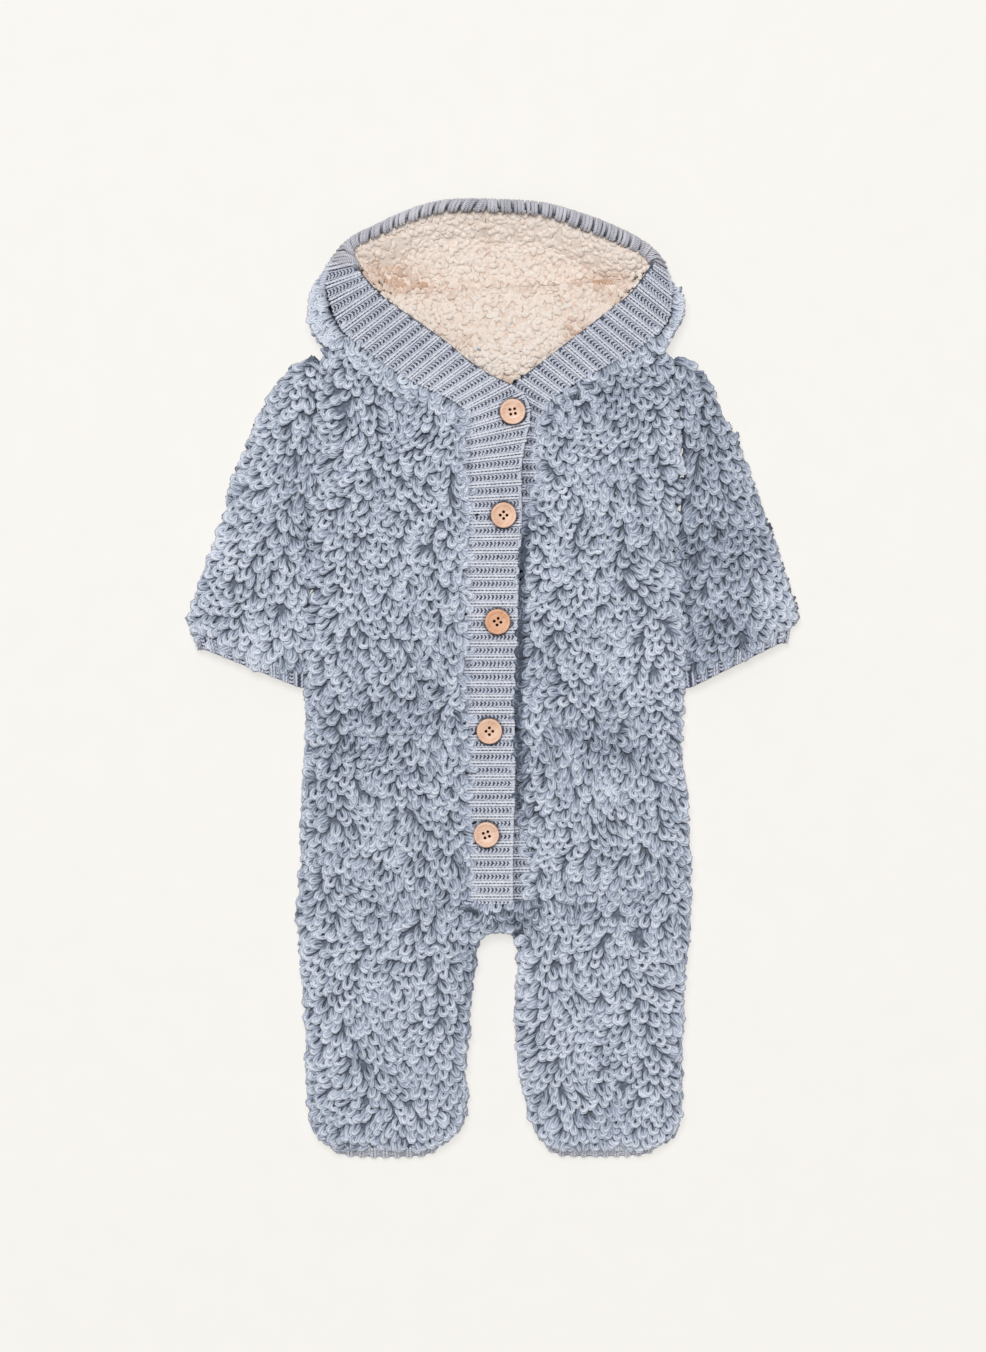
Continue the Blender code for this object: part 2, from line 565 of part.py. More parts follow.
def add_hood(name, plate, fold, material):
    """Half of the hood: its plate on the surface, and the fold up round the side to the border."""
    outline = np.column_stack([plate["x"], plate["y"]])
    outline = outline[::-1] if polygon_area(outline) < 0 else outline
    solid = loft(name, slab_rings(outline, HOOD_PROFILE), material)
    stations = smooth_columns(fold, 3)
    rings = []
    for edge_x, edge_y, rim_x, rim_y, rim_z, rise in zip(*stations.values()):
        edge = np.array([edge_x, edge_y, 0])
        rim = np.array([rim_x, rim_y, 0])
        reach = np.linalg.norm(rim - edge)
        inward = (rim - edge) / reach
        section = (
            *FOLD_FOOT, *((d, z * rise) for d, z in FOLD_OUTSIDE), (reach, rim_z + RIM_ABOVE),
            (reach, rim_z - RIM_BELOW), (FOLD_INSIDE[0], FOLD_INSIDE[1] * rise),
            (FOLD_FLOOR, HOOD_FLOOR * min(1, rise + 0.2)),
        )
        section = [(min(d, reach + 4), z) for d, z in section]
        rings.append([edge + d * inward + np.array([0, 0, z]) for d, z in section])
    side_fold = loft(name + "_fold", rings, material)
    side_fold.hide_render = True
    side_fold.display_type = "WIRE"
    union = solid.modifiers.new("Fold", "BOOLEAN")
    union.operation = "UNION"
    union.solver = "EXACT"
    union.object = side_fold
    return solid


def polygon_area(outline):
    x, y = outline.T
    return 0.5 * float(np.sum(x * np.roll(y, -1) - y * np.roll(x, -1)))


def add_crown(name, material):
    """The lining's crown: it climbs towards the border and runs in under the nape's fold."""
    arc = smooth(np.column_stack([CROWN_ARC["x"], CROWN_ARC["y"]]), 2)
    rise = CROWN_TOP - CROWN_LOW
    fold_x = NAPE["left_x"][0], NAPE["right_x"][0]
    fold_y = NAPE["left_y"][0], NAPE["right_y"][0]
    top = []
    for share in CROWN_ROWS:
        row = []
        for x, y in arc:
            here = y + share * (np.interp(x, fold_x, fold_y) + 1 - y)
            height = CROWN_LOW - LINING_BASE + rise * (1 - share) ** 1.3
            to_side = min(x - arc[0, 0], arc[-1, 0] - x)
            height *= rounded(y - here, CROWN_ROUND) * rounded(to_side, CROWN_SIDE_ROUND)
            seam = SEAM_DEPTH * math.exp(-(((x - HOOD_SEAM_X) / SEAM_HALF_WIDTH) ** 2)) * (1 - share)
            row.append((x, here, LINING_BASE + max(height - seam, LEAST_CROWN)))
        top.append(row)
    top.append([(x, y - CROWN_UNDER_NAPE, min(z, CROWN_LOW)) for x, y, z in top[-1]])
    return laid_piece(name, np.array(top), LINING_BASE, material)


def add_nape(name, material):
    """The lining behind the neck: its rolled upper edge lies over the crown."""
    sections = smooth_columns(NAPE, 2)
    top = []
    for left_x, left_y, right_x, right_y, height in zip(*sections.values()):
        row = []
        for share in np.linspace(0, 1, 15):
            x = left_x + share * (right_x - left_x)
            y = left_y + share * (right_y - left_y)
            edge = rounded(min(share, 1 - share) * (right_x - left_x), NAPE_ROUND)
            row.append((x, y, FRONT_BASE + max((height - FRONT_BASE) * edge, LEAST_NAPE)))
        top.append(row)
    return laid_piece(name, np.array(top), FRONT_BASE, material)


def add_sole(name, rows, side_line, leg_line, material):
    """The ribbed sole's edge that shows along the toe."""
    lines = (side_line, leg_line)
    toe = [(x, y) for line in lines for x, y in zip(line["x"], line["y"]) if y < TOE_START_Y]
    toe_x, toe_y = np.array(sorted(toe)).T
    count = int((rows["x"][-1] - rows["x"][0]) / SOLE_RIB) * 2
    rings = []
    for k, x in enumerate(np.linspace(rows["x"][0], rows["x"][-1], count + 1)):
        width, low, high = (np.interp(x, rows["x"], rows[column]) for column in ("width", "low", "high"))
        y = float(np.interp(x, toe_x, toe_y)) - SOLE_FROM_TOE
        out = width - SOLE_RIB_HEIGHT * (k % 2)
        section = (
            (0, low), (out - SOLE_EDGE, low), (out, low + 0.25 * (high - low)),
            (out, low + 0.75 * (high - low)), (out - SOLE_EDGE, high), (0, high),
        )
        rings.append([(x, y - d, z) for d, z in section])
    return loft(name, rings, material)


def button_profile():
    """(radius, height) round the button from the middle of its top to its underside."""
    radius = BUTTON_D / 2
    top = [(share * radius, BUTTON_THICK - depth) for share, depth in BUTTON_TOP]
    return top + [(share * radius, height) for share, height in BUTTON_FOOT]


def add_button(name, x, y, z, turn, material):
    """A four-hole button with a raised rim."""
    angles = np.arange(BUTTON_SIDES) / BUTTON_SIDES * 2 * math.pi
    rings = [
        np.column_stack([radius * np.cos(angles), radius * np.sin(angles), np.full(BUTTON_SIDES, height)])
        for radius, height in button_profile()
    ]
    button = loft(name, rings, material)
    cutter = add_holes(name + "_holes", material)
    holes = button.modifiers.new("Holes", "BOOLEAN")
    holes.operation = "DIFFERENCE"
    holes.solver = "EXACT"
    holes.object = cutter
    button.location = (x * MM, y * MM, z * MM)
    button.rotation_euler.z = math.radians(turn)
    cutter.parent = button
    return button


def add_holes(name, material):
    """Four rods through a button."""
    angles = np.arange(HOLE_SIDES) / HOLE_SIDES * 2 * math.pi
    verts, faces = [], []
    for around in (math.radians(degrees) for degrees in (45, 135, 225, 315)):
        reach = HOLE_SPACING / math.sqrt(2)
        centre = (reach * math.cos(around), reach * math.sin(around))
        first = len(verts)
        for height in (-1, BUTTON_THICK + 1):
            verts += [
                (centre[0] + HOLE_D / 2 * math.cos(a), centre[1] + HOLE_D / 2 * math.sin(a), height)
                for a in angles
            ]
        faces += ring_faces(first, first + HOLE_SIDES, HOLE_SIDES)
        faces += [tuple(range(first, first + HOLE_SIDES)), tuple(range(first + HOLE_SIDES, len(verts)))]
    rods = add_solid(name, verts, faces, material)
    rods.hide_render = True
    rods.display_type = "WIRE"
    return rods


def build():
    for old in list(bpy.data.objects):
        bpy.data.objects.remove(old, do_unlink=True)

    loops = principled("loop_knit", (163, 170, 183), 0.95)
    rib = principled("rib_knit", (170, 175, 186), 0.9)
    sherpa = principled("sherpa", (229, 216, 205), 1.0)
    wood = principled("wood", (232, 196, 174), 0.5)

    loft("back_panel", slab_rings(body_outline(), BACK_PROFILE), loops)

    right_edge = middle_edge(STRIP_RIGHT, 1)
    left_edge = middle_edge(STRIP_LEFT, -1, STRIP_RIGHT)
    add_front("front_right", SIDE_RIGHT, right_edge, LEG_RIGHT, 1, loops)
    add_front("front_left", SIDE_LEFT, left_edge, LEG_LEFT, -1, loops)

    add_sleeve("sleeve_right", SLEEVE_RIGHT, SIDE_RIGHT, 1, loops)
    add_sleeve("sleeve_left", SLEEVE_LEFT, SIDE_LEFT, -1, loops)
    add_cuff("cuff_right", CUFF_RIGHT, rib)
    add_cuff("cuff_left", CUFF_LEFT, rib)

    add_strip("band_right", STRIP_RIGHT, 1, rib)
    add_strip("band_left", STRIP_LEFT, -1, rib, HIDDEN_RIBS)

    add_hood("hood_right", HOOD_PLATE_RIGHT, HOOD_FOLD_RIGHT, loops)
    add_hood("hood_left", HOOD_PLATE_LEFT, HOOD_FOLD_LEFT, loops)
    add_crown("hood_lining_crown", sherpa)
    add_nape("hood_lining_nape", sherpa)

    add_sole("sole_right", SOLE_RIGHT, SIDE_RIGHT, LEG_RIGHT, rib)
    add_sole("sole_left", SOLE_LEFT, SIDE_LEFT, LEG_LEFT, rib)

    button_z = UPPER_BAND_BASE + BAND_THICK + RIB_HEIGHT + SEAM
    for number, (x, y, lift, turn) in enumerate(zip(*BUTTONS.values()), 1):
        add_button(f"button_{number}", x, y, button_z + lift, turn, wood)


build()
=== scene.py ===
"""Looks of the hooded loop-knit pramsuit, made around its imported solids.

Points are worked out in millimetres and written to meshes in metres. +Z is up, the hood points to
+Y and the feet to -Y. The wearer's right is at -X, which is the left side of the picture.
"""

import math

import bmesh
import bpy
import numpy as np
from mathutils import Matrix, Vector, noise
from mathutils.bvhtree import BVHTree


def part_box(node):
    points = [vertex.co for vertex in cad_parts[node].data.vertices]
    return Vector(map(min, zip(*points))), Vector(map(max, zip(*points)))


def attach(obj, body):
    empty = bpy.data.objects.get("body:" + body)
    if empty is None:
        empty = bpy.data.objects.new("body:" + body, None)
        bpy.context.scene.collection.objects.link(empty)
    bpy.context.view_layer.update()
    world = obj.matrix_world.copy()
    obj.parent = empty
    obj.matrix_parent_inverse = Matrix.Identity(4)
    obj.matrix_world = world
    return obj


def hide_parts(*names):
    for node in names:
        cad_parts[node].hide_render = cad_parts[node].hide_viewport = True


MM = 0.001

# The picture: its height in pixels, the table's scale in it, and the lens
PICTURE_H = 1352
MM_PER_PIXEL = 0.7
SENSOR_MM = 36.0
LENS_MM = 90.0
CENTRE_Y = 1.2
SCALE_PLANE_Z = 12.0  # the silhouette's usual height, where the picture's scale holds

# Loop pile
YARN_R = 2.2
LOOP_SIDES = 5
LOOP_ALONG = np.array([0, 0.34, 0.68, 0.93, 1.0, 0.93, 0.68, 0.34, 0])
LOOP_ACROSS = np.array([-0.26, -0.42, -0.5, -0.36, 0, 0.36, 0.5, 0.42, 0.26])
COURSE = 4.4  # from one row of loops to the next
WALE = 7.6  # from one loop to the next in a row
SIDE_SPACING = 5.0
STEEP = 0.62  # a face counts as the top of a piece where its normal's height is over this
FLOOR_GAP = 0.4
LOOP_REACH = 7.6  # from a loop's place to its tip
MOST_PULL = 10.0  # how far a loop is drawn back at most, so that it stays inside the outline
ROOT_SLOPE, TIP_SLOPE = 56, -10  # of a loop that lies down, in degrees
STANDING_SLOPE = 24  # what standing up adds to both
MOST_TWIST = np.radians(24)
GROUND_WALL = 1.4  # the knit that the loops stand on

# Rib knit
RIB_PITCH = 9.3
STITCH = 2.7
BAND_THICK = 3.0
RIB_YARN_R = 0.92

# Sherpa
CLUMP = 5.2
CURL_R = 1.7

# Buttons
BUTTON_D = 18.0
BUTTON_THICK = 3.6
HOLE_D = 2.1
HOLE_SPACING = 3.3

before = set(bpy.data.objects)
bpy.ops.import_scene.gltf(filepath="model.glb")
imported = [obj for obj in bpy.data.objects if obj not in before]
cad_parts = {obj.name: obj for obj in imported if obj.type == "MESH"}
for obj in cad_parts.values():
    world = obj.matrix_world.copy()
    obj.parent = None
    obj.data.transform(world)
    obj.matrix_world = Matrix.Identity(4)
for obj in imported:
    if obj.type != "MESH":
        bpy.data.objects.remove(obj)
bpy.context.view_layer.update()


def table(columns, rows):
    """Rows of numbers as one array for each named column."""
    return dict(zip(columns.split(), np.array(rows, float).T))


# The two rib strips, as in the solids: a row is one line along the ribs, from the free edge to the
# sewn edge, on the strip's inner face.
STRIP = "free_x free_y free_z sewn_x sewn_y sewn_z"
STRIP_RIGHT = table(STRIP, [
    (-5.3, 325, 37, -5.3, 330.5, 2), (-28, 325, 37, -27.5, 330.5, 2), (-46, 322, 37, -45, 327, 2),
    (-64, 315.5, 36, -62, 321, 3), (-82, 307, 35, -80, 313, 4), (-93, 302, 33, -94, 307, 6),
    (-98, 297, 31, -106, 298, 10), (-96, 290, 29.5, -113, 289, 15),
    (-92, 283, 28.5, -116.5, 277, 19), (-77, 266, 27, -107, 245, 21), (-55, 250, 26, -86, 226, 21),
    (-35, 236, 25.5, -65, 211, 21), (-19, 223, 25, -47, 202, 20.5), (-3, 212, 24, -31, 195, 19.5),
    (10, 206, 22.5, -22, 189, 18.2), (19, 201, 20.2, -19.5, 184, 17.5),
    (24.5, 194, 18.2, -19, 179, 17.4), (26.5, 186, 17.4, -19, 173, 17.4),
    (25.5, 176, 17.4, -19.5, 166, 17.4), (23, 165, 17.4, -20, 158, 17.4),
    (20.5, 150, 17.4, -20, 146, 17.4), (20, 131, 17.4, -18, 129, 17.4),
    (20.5, 107, 17.4, -16.5, 106, 17.4), (19, 82, 17.4, -18.5, 82, 17.4),
    (18, 59, 17.4, -19, 59, 17.4), (17.5, 30, 17.4, -18.5, 30, 17.4), (16, 4, 17.4, -20.5, 4, 17.4),
    (15, -24, 17.4, -18.5, -24, 17.4), (15.5, -50, 17.4, -16.5, -50, 17.4),
    (15.5, -80, 17.4, -18.5, -80, 17.4), (14.5, -102, 17.4, -15.5, -102, 17.4),
    (14, -124, 17.4, -16.5, -124, 17.4), (14, -157.5, 17.4, -16.5, -157.5, 17.4),
])
STRIP_LEFT = table(STRIP, [
    (-4.7, 325, 37, -4.7, 330.5, 2), (26, 323, 37, 26, 329.5, 2), (43, 319.5, 37, 42, 326.5, 2),
    (61, 313, 36, 59, 320, 3), (79, 306, 35, 77, 313.5, 4), (97, 298.5, 33, 96, 305, 6),
    (106, 294, 31, 110, 295, 10), (109, 288, 29.5, 120, 283, 15), (102.5, 277, 28, 123.5, 261, 19),
    (93.5, 266, 27, 120, 246, 20.5), (77, 253, 26, 104.5, 231.5, 21),
    (60.5, 240.5, 25, 84, 220, 21), (46, 229.5, 23.5, 68, 211, 20.5), (31, 218, 21, 52, 202, 18.5),
    (18.5, 209, 17.5, 41, 194, 15), (8, 200, 14, 36, 186, 12.6), (0, 189, 12.4, 34.5, 178, 12.4),
    (-3, 175, 12.4, 34.5, 170, 12.4), (-4, 150, 12.4, 34.5, 150, 12.4),
    (-4, 134, 12.4, 33.5, 134, 12.4), (-9, 120, 12.4, 27, 120, 12.4),
    (-14, 106, 12.4, 21.3, 106, 12.4), (-15, 82, 12.4, 19.5, 82, 12.4),
    (-15.5, 59, 12.4, 18.5, 59, 12.4), (-15, 30, 12.4, 18, 30, 12.4), (-17, 4, 12.4, 16.5, 4, 12.4),
    (-15, -24, 12.4, 15.5, -24, 12.4), (-13, -50, 12.4, 16, -50, 12.4),
    (-14, -80, 12.4, 16.5, -80, 12.4), (-12, -102, 12.4, 23, -102, 12.4),
    (-12, -116, 12.4, 27, -116, 12.4), (-12, -157.5, 12.4, 26.5, -157.5, 12.4),
])
ARC_END_Y = 293.0  # above this the strips stand on edge, round the top of the hood
HOOD_LOOPS_Y = 274.0  # the loops beside the hood start below this
UNDER_RIM_Y, UNDER_RIM_Z = 306.0, 16.0  # above those, more fill the gap below the band's rim
HOOD_PILE_Z = 23.0  # and their tips fill the groove beside the band up to here
# Loops fall over the end of the placket between these
PLACKET_END_X = {"right": (-19.0, 6.0), "left": (6.0, 27.0)}
HIDDEN_RIBS = (88.0, -92.0)  # between these the lower band is under the upper one

# The sleeves' axes, from shoulder to cuff, and the cuffs' sewn and free edges, outer end first
AXIS = {"right": ((-128, 205), (-173, 14)), "left": ((131, 205), (174, 16))}
CUFF_ENDS = {
    "right": (((-211, 33), (-134, 3.5)), ((-208.5, 22.5), (-134, -7.5))),
    "left": (((209.5, 38.5), (136.5, 4)), ((207.5, 27.5), (137.5, -7.5))),
}


# ---- meshes


def linked(name, data):
    """A new object in the scene."""
    thing = bpy.data.objects.new(name, data)
    bpy.context.scene.collection.objects.link(thing)
    return thing


def mesh_object(name, verts, polygons, material, point_values=()):
    """A smooth mesh from points in millimetres and a list of index arrays, one for each size of
    face."""
    mesh = bpy.data.meshes.new(name)
    corners = np.concatenate([p.ravel() for p in polygons]).astype(np.int32)
    sizes = np.concatenate([np.full(len(p), p.shape[1]) for p in polygons])
    starts = np.concatenate([[0], np.cumsum(sizes)[:-1]]).astype(np.int32)
    mesh.vertices.add(len(verts))
    mesh.vertices.foreach_set("co", (np.asarray(verts) * MM).astype(np.float32).ravel())
    mesh.loops.add(len(corners))
    mesh.loops.foreach_set("vertex_index", corners)
    mesh.polygons.add(len(sizes))
    mesh.polygons.foreach_set("loop_start", starts)
    for attribute, kind, values in point_values:
        layer = mesh.attributes.new(attribute, kind, "POINT")
        field = "vector" if kind == "FLOAT_VECTOR" else "value"
        layer.data.foreach_set(field, values.astype(np.float32).ravel())
    mesh.update(calc_edges=True)
    mesh.validate()
    mesh.shade_smooth()
    mesh.materials.append(material)
    return linked(name, mesh)


def edited_object(name, edit, material):
    """An edited mesh as an object in the scene."""
    mesh = bpy.data.meshes.new(name)
    edit.to_mesh(mesh)
    edit.free()
    mesh.shade_smooth()
    mesh.materials.clear()
    mesh.materials.append(material)
    return linked(name, mesh)


def unit(vectors):
    return vectors / np.maximum(np.linalg.norm(vectors, axis=-1, keepdims=True), 1e-9)


def upward(count):
    return np.tile((0.0, 0.0, 1.0), (count, 1))


def circle(sides):
    angles = np.arange(sides) / sides * 2 * np.pi
    return np.cos(angles), np.sin(angles)


def tube_faces(rings, sides, turned=False):
    """A tube's quads and the caps of its ends, as numbers of points. Turned, they face the other
    way."""
    ring = (np.arange(rings - 1) * sides)[:, None]
    i = np.arange(sides)
    j = (i + 1) % sides
    quads = np.stack([ring + i, ring + sides + i, ring + sides + j, ring + j], axis=-1)
    quads = quads.reshape(-1, 4)
    caps = np.array([i, (rings - 1) * sides + i[::-1]])
    return (quads[:, (0, 3, 2, 1)], caps[:, ::-1]) if turned else (quads, caps)


def closed_shell(name, rings, material, tone):
    """A closed cloth from the points of its cross sections, an array of (sections, corners, 3)."""
    polygons = tube_faces(*rings.shape[:2], turned=True)
    values = (("tone", "FLOAT", np.full(rings.shape[:2], tone)),)
    piece = mesh_object(name, rings.reshape(-1, 3), polygons, material, values)
    edit = bmesh.new()
    edit.from_mesh(piece.data)
    bmesh.ops.recalc_face_normals(edit, faces=edit.faces)
    edit.to_mesh(piece.data)
    edit.free()
    return piece


def tubes(name, paths, radii, facing, sides, material, tone, flatten=1.0):
    """Closed yarns along many paths. paths is (n, k, 3); radii and tone are (n, k); facing is
    (n, k, 3), the direction that a path's bend is seen from."""
    count, steps = paths.shape[:2]
    run = unit(np.gradient(paths, axis=1))
    side = unit(np.cross(run, facing))
    up = np.cross(side, run)
    cos, sin = circle(sides)
    ring = side[:, :, None] * cos[:, None] + up[:, :, None] * sin[:, None] * flatten
    verts = paths[:, :, None] + radii[:, :, None, None] * ring
    low = verts[..., 2].min(axis=(1, 2))
    verts[..., 2] += np.maximum(FLOOR_GAP - low, 0)[:, None, None]

    first = (np.arange(count) * steps * sides)[:, None]
    quads, caps = tube_faces(steps, sides)
    quads = (first[..., None] + quads).reshape(-1, 4)
    caps = (caps[:, None] + first).reshape(-1, sides)
    ply = np.zeros((count, steps, sides, 3))
    ply[..., 0] = cos
    ply[..., 1] = sin
    steps_long = np.linalg.norm(np.diff(paths, axis=1), axis=2)
    ply[:, 1:, :, 2] = np.cumsum(steps_long, axis=1)[:, :, None]
    tones = np.repeat(tone[:, :, None], sides, axis=2)
    values = (("tone", "FLOAT", tones), ("ply", "FLOAT_VECTOR", ply))
    return mesh_object(name, verts.reshape(-1, 3), [quads, caps], material, values)


def wander(points, seed, wave):
    """A smooth random field from about -1 to 1, whose features are about `wave` millimetres
    wide."""
    draw = np.random.default_rng(seed)
    x, y = points[:, 0], points[:, 1]
    total = 0
    for _ in range(7):
        angle, phase = draw.uniform(0, 2 * np.pi, 2)
        step = draw.uniform(0.6, 1.5) * np.pi / wave
        total = total + np.sin(step * (x * np.cos(angle) + y * np.sin(angle)) + phase)
    return total / 3.2


def smoothstep(low, high, value):
    share = np.clip((value - low) / (high - low), 0, 1)
    return share * share * (3 - 2 * share)


def distances(line):
    """How far along a line each of its points is."""
    return np.concatenate([[0], np.cumsum(np.linalg.norm(np.diff(line, axis=0), axis=1))])


def rows_at(places, known, rows):
    """The rows of an (n, 3) array, read between the places where they are known."""
    return np.stack([np.interp(places, known, rows[:, k]) for k in range(3)], axis=-1)


def painted_shade_at(points, places):
    """How much painted shade each point gets from soft round spots: (x, y, reach across, reach
    along, depth). A negative depth paints light.
    """
    x, y = points[:, 0], points[:, 1]
    depth = np.zeros(len(points))
    for px, py, reach_x, reach_y, most in places:
        depth += most * np.exp(-(((x - px) / reach_x) ** 2) - (((y - py) / reach_y) ** 2))
    return depth


# ---- the solids as surfaces


def cad_mesh(name):
    """A solid as an editable mesh, in metres, with its doubled points joined."""
    edit = bmesh.new()
    edit.from_mesh(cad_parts[name].data)
    bmesh.ops.remove_doubles(edit, verts=edit.verts, dist=0.02 * MM)
    edit.normal_update()
    return edit


def cad_tree(*names):
    verts, faces = [], []
    for name in names:
        edit = cad_mesh(name)
        first = len(verts)
        verts += [v.co / MM for v in edit.verts]
        faces += [[first + v.index for v in face.verts] for face in edit.faces]
        edit.free()
    return BVHTree.FromPolygons(verts, faces)


all_solids = cad_tree(*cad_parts)


def escapes(point, normal):
    """True where nothing stands close in front of a face."""
    point, normal = Vector(point), Vector(normal)
    return all_solids.ray_cast(point + 0.3 * normal, normal, 2.2)[0] is None


def box_mm(name):
    """The least and the greatest corner of a solid's box, in millimetres."""
    return [np.array(corner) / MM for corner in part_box(name)]


def top_hit(tree, x, y):
    """What a line straight down meets first: (place, normal, face, distance)."""
    return tree.ray_cast(Vector((x, y, 100)), Vector((0, 0, -1)))


def as_rows(points, normals):
    return np.array(points).reshape(-1, 3), np.array(normals).reshape(-1, 3)


def join_points(*sets):
    return np.concatenate([s[0] for s in sets]), np.concatenate([s[1] for s in sets])


def top_points(name, courses):
    """Where vertical lines at the given (x, y) meet the top of a solid: (points, normals)."""
    tree = cad_tree(name)
    points, normals = [], []
    for x, y in courses:
        hit, normal, _, _ = top_hit(tree, x, y)
        if hit is None or normal.z < STEEP or top_hit(all_solids, x, y)[0].z > hit.z + 1.0:
            continue
        points.append(hit)
        normals.append(normal)
    return as_rows(points, normals)


def side_points(name, seed, spacing, taken=()):
    """Evenly scattered points on a solid's open sides, none close to those taken:
    (points, normals)."""
    draw = np.random.default_rng(seed)
    edit = cad_mesh(name)
    candidates = []
    for face in edit.faces:
        normal = np.array(face.normal)
        if not -0.55 < normal[2] < STEEP + 0.05:
            continue
        a, *others = np.array([v.co for v in face.verts]) / MM
        for b, c in zip(others, others[1:]):
            area = 0.5 * np.linalg.norm(np.cross(b - a, c - a))
            for _ in range(draw.poisson(area / spacing**2 * 9)):
                u, v = draw.random(2)
                if u + v > 1:
                    u, v = 1 - u, 1 - v
                candidates.append((a + u * (b - a) + v * (c - a), normal))
    edit.free()
    draw.shuffle(candidates)
    cells = {}
    points, normals = [], []

    def cell(point):
        return tuple((point // spacing).astype(int))

    def crowded(point):
        i, j, k = cell(point)
        return any(
            np.linalg.norm(point - other) < spacing
            for di in (-1, 0, 1) for dj in (-1, 0, 1) for dk in (-1, 0, 1)
            for other in cells.get((i + di, j + dj, k + dk), ())
        )

    for point in taken:
        cells.setdefault(cell(point), []).append(point)
    for point, normal in candidates:
        if point[2] < 1.5 or crowded(point) or not escapes(point, normal):
            continue
        cells.setdefault(cell(point), []).append(point)
        points.append(point)
        normals.append(normal)
    return as_rows(points, normals)


def course_grid(start, end, half_width, seed):
    """Loops' places in rows across the line from start to end, each row half a loop on from the
    last."""
    draw = np.random.default_rng(seed)
    start, end = np.array(start, float), np.array(end, float)
    length = np.linalg.norm(end - start)
    down = (end - start) / length
    across = np.array([-down[1], down[0]])
    rows = int(length / COURSE) + 1
    columns = int(2 * half_width / WALE) + 1
    row, column = np.meshgrid(np.arange(rows), np.arange(columns), indexing="ij")
    along = row * COURSE
    aside = (column + 0.5 * (row % 2)) * WALE - half_width
    points = start + along[..., None] * down + aside[..., None] * across
    points = points.reshape(-1, 2)
    points += draw.normal(0, 1, points.shape) * (0.75, 0.6)
    points[:, 1] += 2.2 * wander(points, seed + 1, 38)
    return points


# ---- materials


def srgb(colour):
    """The picture's 0-255 colour as linear values with an alpha."""
    return (*(((c / 255 + 0.055) / 1.055) ** 2.4 for c in colour), 1)


class Graph:
    """A material's nodes."""

    def __init__(self, name, roughness, sheen=0.0, sheen_roughness=0.5):
        self.material = bpy.data.materials.new(name)
        self.material.use_nodes = True
        self.tree = self.material.node_tree
        self.shader = self.tree.nodes["Principled BSDF"]
        self.shader.inputs["Roughness"].default_value = roughness
        self.shader.inputs["Sheen Weight"].default_value = sheen
        self.shader.inputs["Sheen Roughness"].default_value = sheen_roughness
        self.shader.inputs["Specular IOR Level"].default_value = 0.25

    def add(self, kind, settings=(), **inputs):
        node = self.tree.nodes.new("ShaderNode" + kind)
        for key, value in dict(settings).items():
            setattr(node, key, value)
        for key, value in inputs.items():
            socket = node.inputs[int(key[1:]) if key[0] == "i" and key[1:].isdigit() else key]
            if isinstance(value, bpy.types.NodeSocket):
                self.tree.links.new(value, socket)
            else:
                socket.default_value = value
        return node

    def math(self, operation, a, b=0.0):
        return self.add("Math", {"operation": operation}, i0=a, i1=b).outputs[0]

    def vary(self, tone, value, centre, weight):
        """The tone, moved by how far the value is from its centre."""
        apart = self.math("SUBTRACT", value, centre)
        return self.math("ADD", tone, self.math("MULTIPLY", apart, weight))

    def attribute(self, name, output="Fac"):
        return self.add("Attribute", {"attribute_name": name}).outputs[output]

    def place(self):
        return self.add("TexCoord").outputs["Object"]

    def noise(self, scale, detail, vector=None, distortion=0.0):
        node = self.add(
            "TexNoise", i2=scale, i3=detail, Distortion=distortion, Vector=vector or self.place()
        )
        return node.outputs["Fac"]

    def map_range(self, value, given, wanted=(0.0, 1.0)):
        node = self.add("MapRange", Value=value)
        for socket, number in zip(("From Min", "From Max", "To Min", "To Max"), (*given, *wanted)):
            node.inputs[socket].default_value = number
        return node.outputs["Result"]

    def ramp(self, value, stops):
        node = self.add("ValToRGB", i0=value)
        elements = node.color_ramp.elements
        for index, (place, colour) in enumerate(stops):
            element = elements[index] if index < 2 else elements.new(place)
            element.position = place
            element.color = srgb(colour)
        return node.outputs["Color"]

    def finish(self, colour, height=None, relief=0.0):
        self.tree.links.new(colour, self.shader.inputs["Base Color"])
        if height is not None:
            bump = self.add("Bump", i0=1.0, i1=relief, Height=height)
            self.tree.links.new(bump.outputs["Normal"], self.shader.inputs["Normal"])
        return self.material


def yarn_material(name, deep, middle, light, turns_per_mm, fuzz, crevice, relief):
    """Two-ply wool: the plies' twist runs along each yarn, and tone goes from deep at 0 to light at
    1. crevice is how much darker, as painted shade, a yarn's sides and underside are than its top,
    and relief the plies' depth."""
    graph = Graph(name, 0.95, sheen=0.25, sheen_roughness=0.45)
    ply = graph.add("SeparateXYZ", i0=graph.attribute("ply", "Vector"))
    around = graph.math("ARCTAN2", ply.outputs[1], ply.outputs[0])
    twist = graph.math("MULTIPLY", ply.outputs[2], turns_per_mm * 2 * math.pi)
    wave = graph.math("SINE", graph.math("ADD", graph.math("MULTIPLY", around, 2.0), twist))
    groove = graph.math("ABSOLUTE", wave)
    fibres = graph.noise(fuzz, 4.0)
    tone = graph.vary(graph.attribute("tone"), fibres, 0.5, 0.34)
    tone = graph.vary(tone, graph.noise(16.0, 3.0), 0.5, 0.36)
    # Painted shade: darker in the grooves between the plies, and on the yarn's sides and underside
    tone = graph.vary(tone, groove, 0.6, 0.34)
    tone = graph.math("ADD", tone, graph.map_range(ply.outputs[1], (-0.5, 0.6), (-crevice, 0.0)))
    colour = graph.ramp(tone, ((0.0, deep), (0.5, middle), (1.0, light)))
    height = graph.math("ADD", groove, graph.math("MULTIPLY", fibres, 0.8))
    return graph.finish(colour, height, relief)


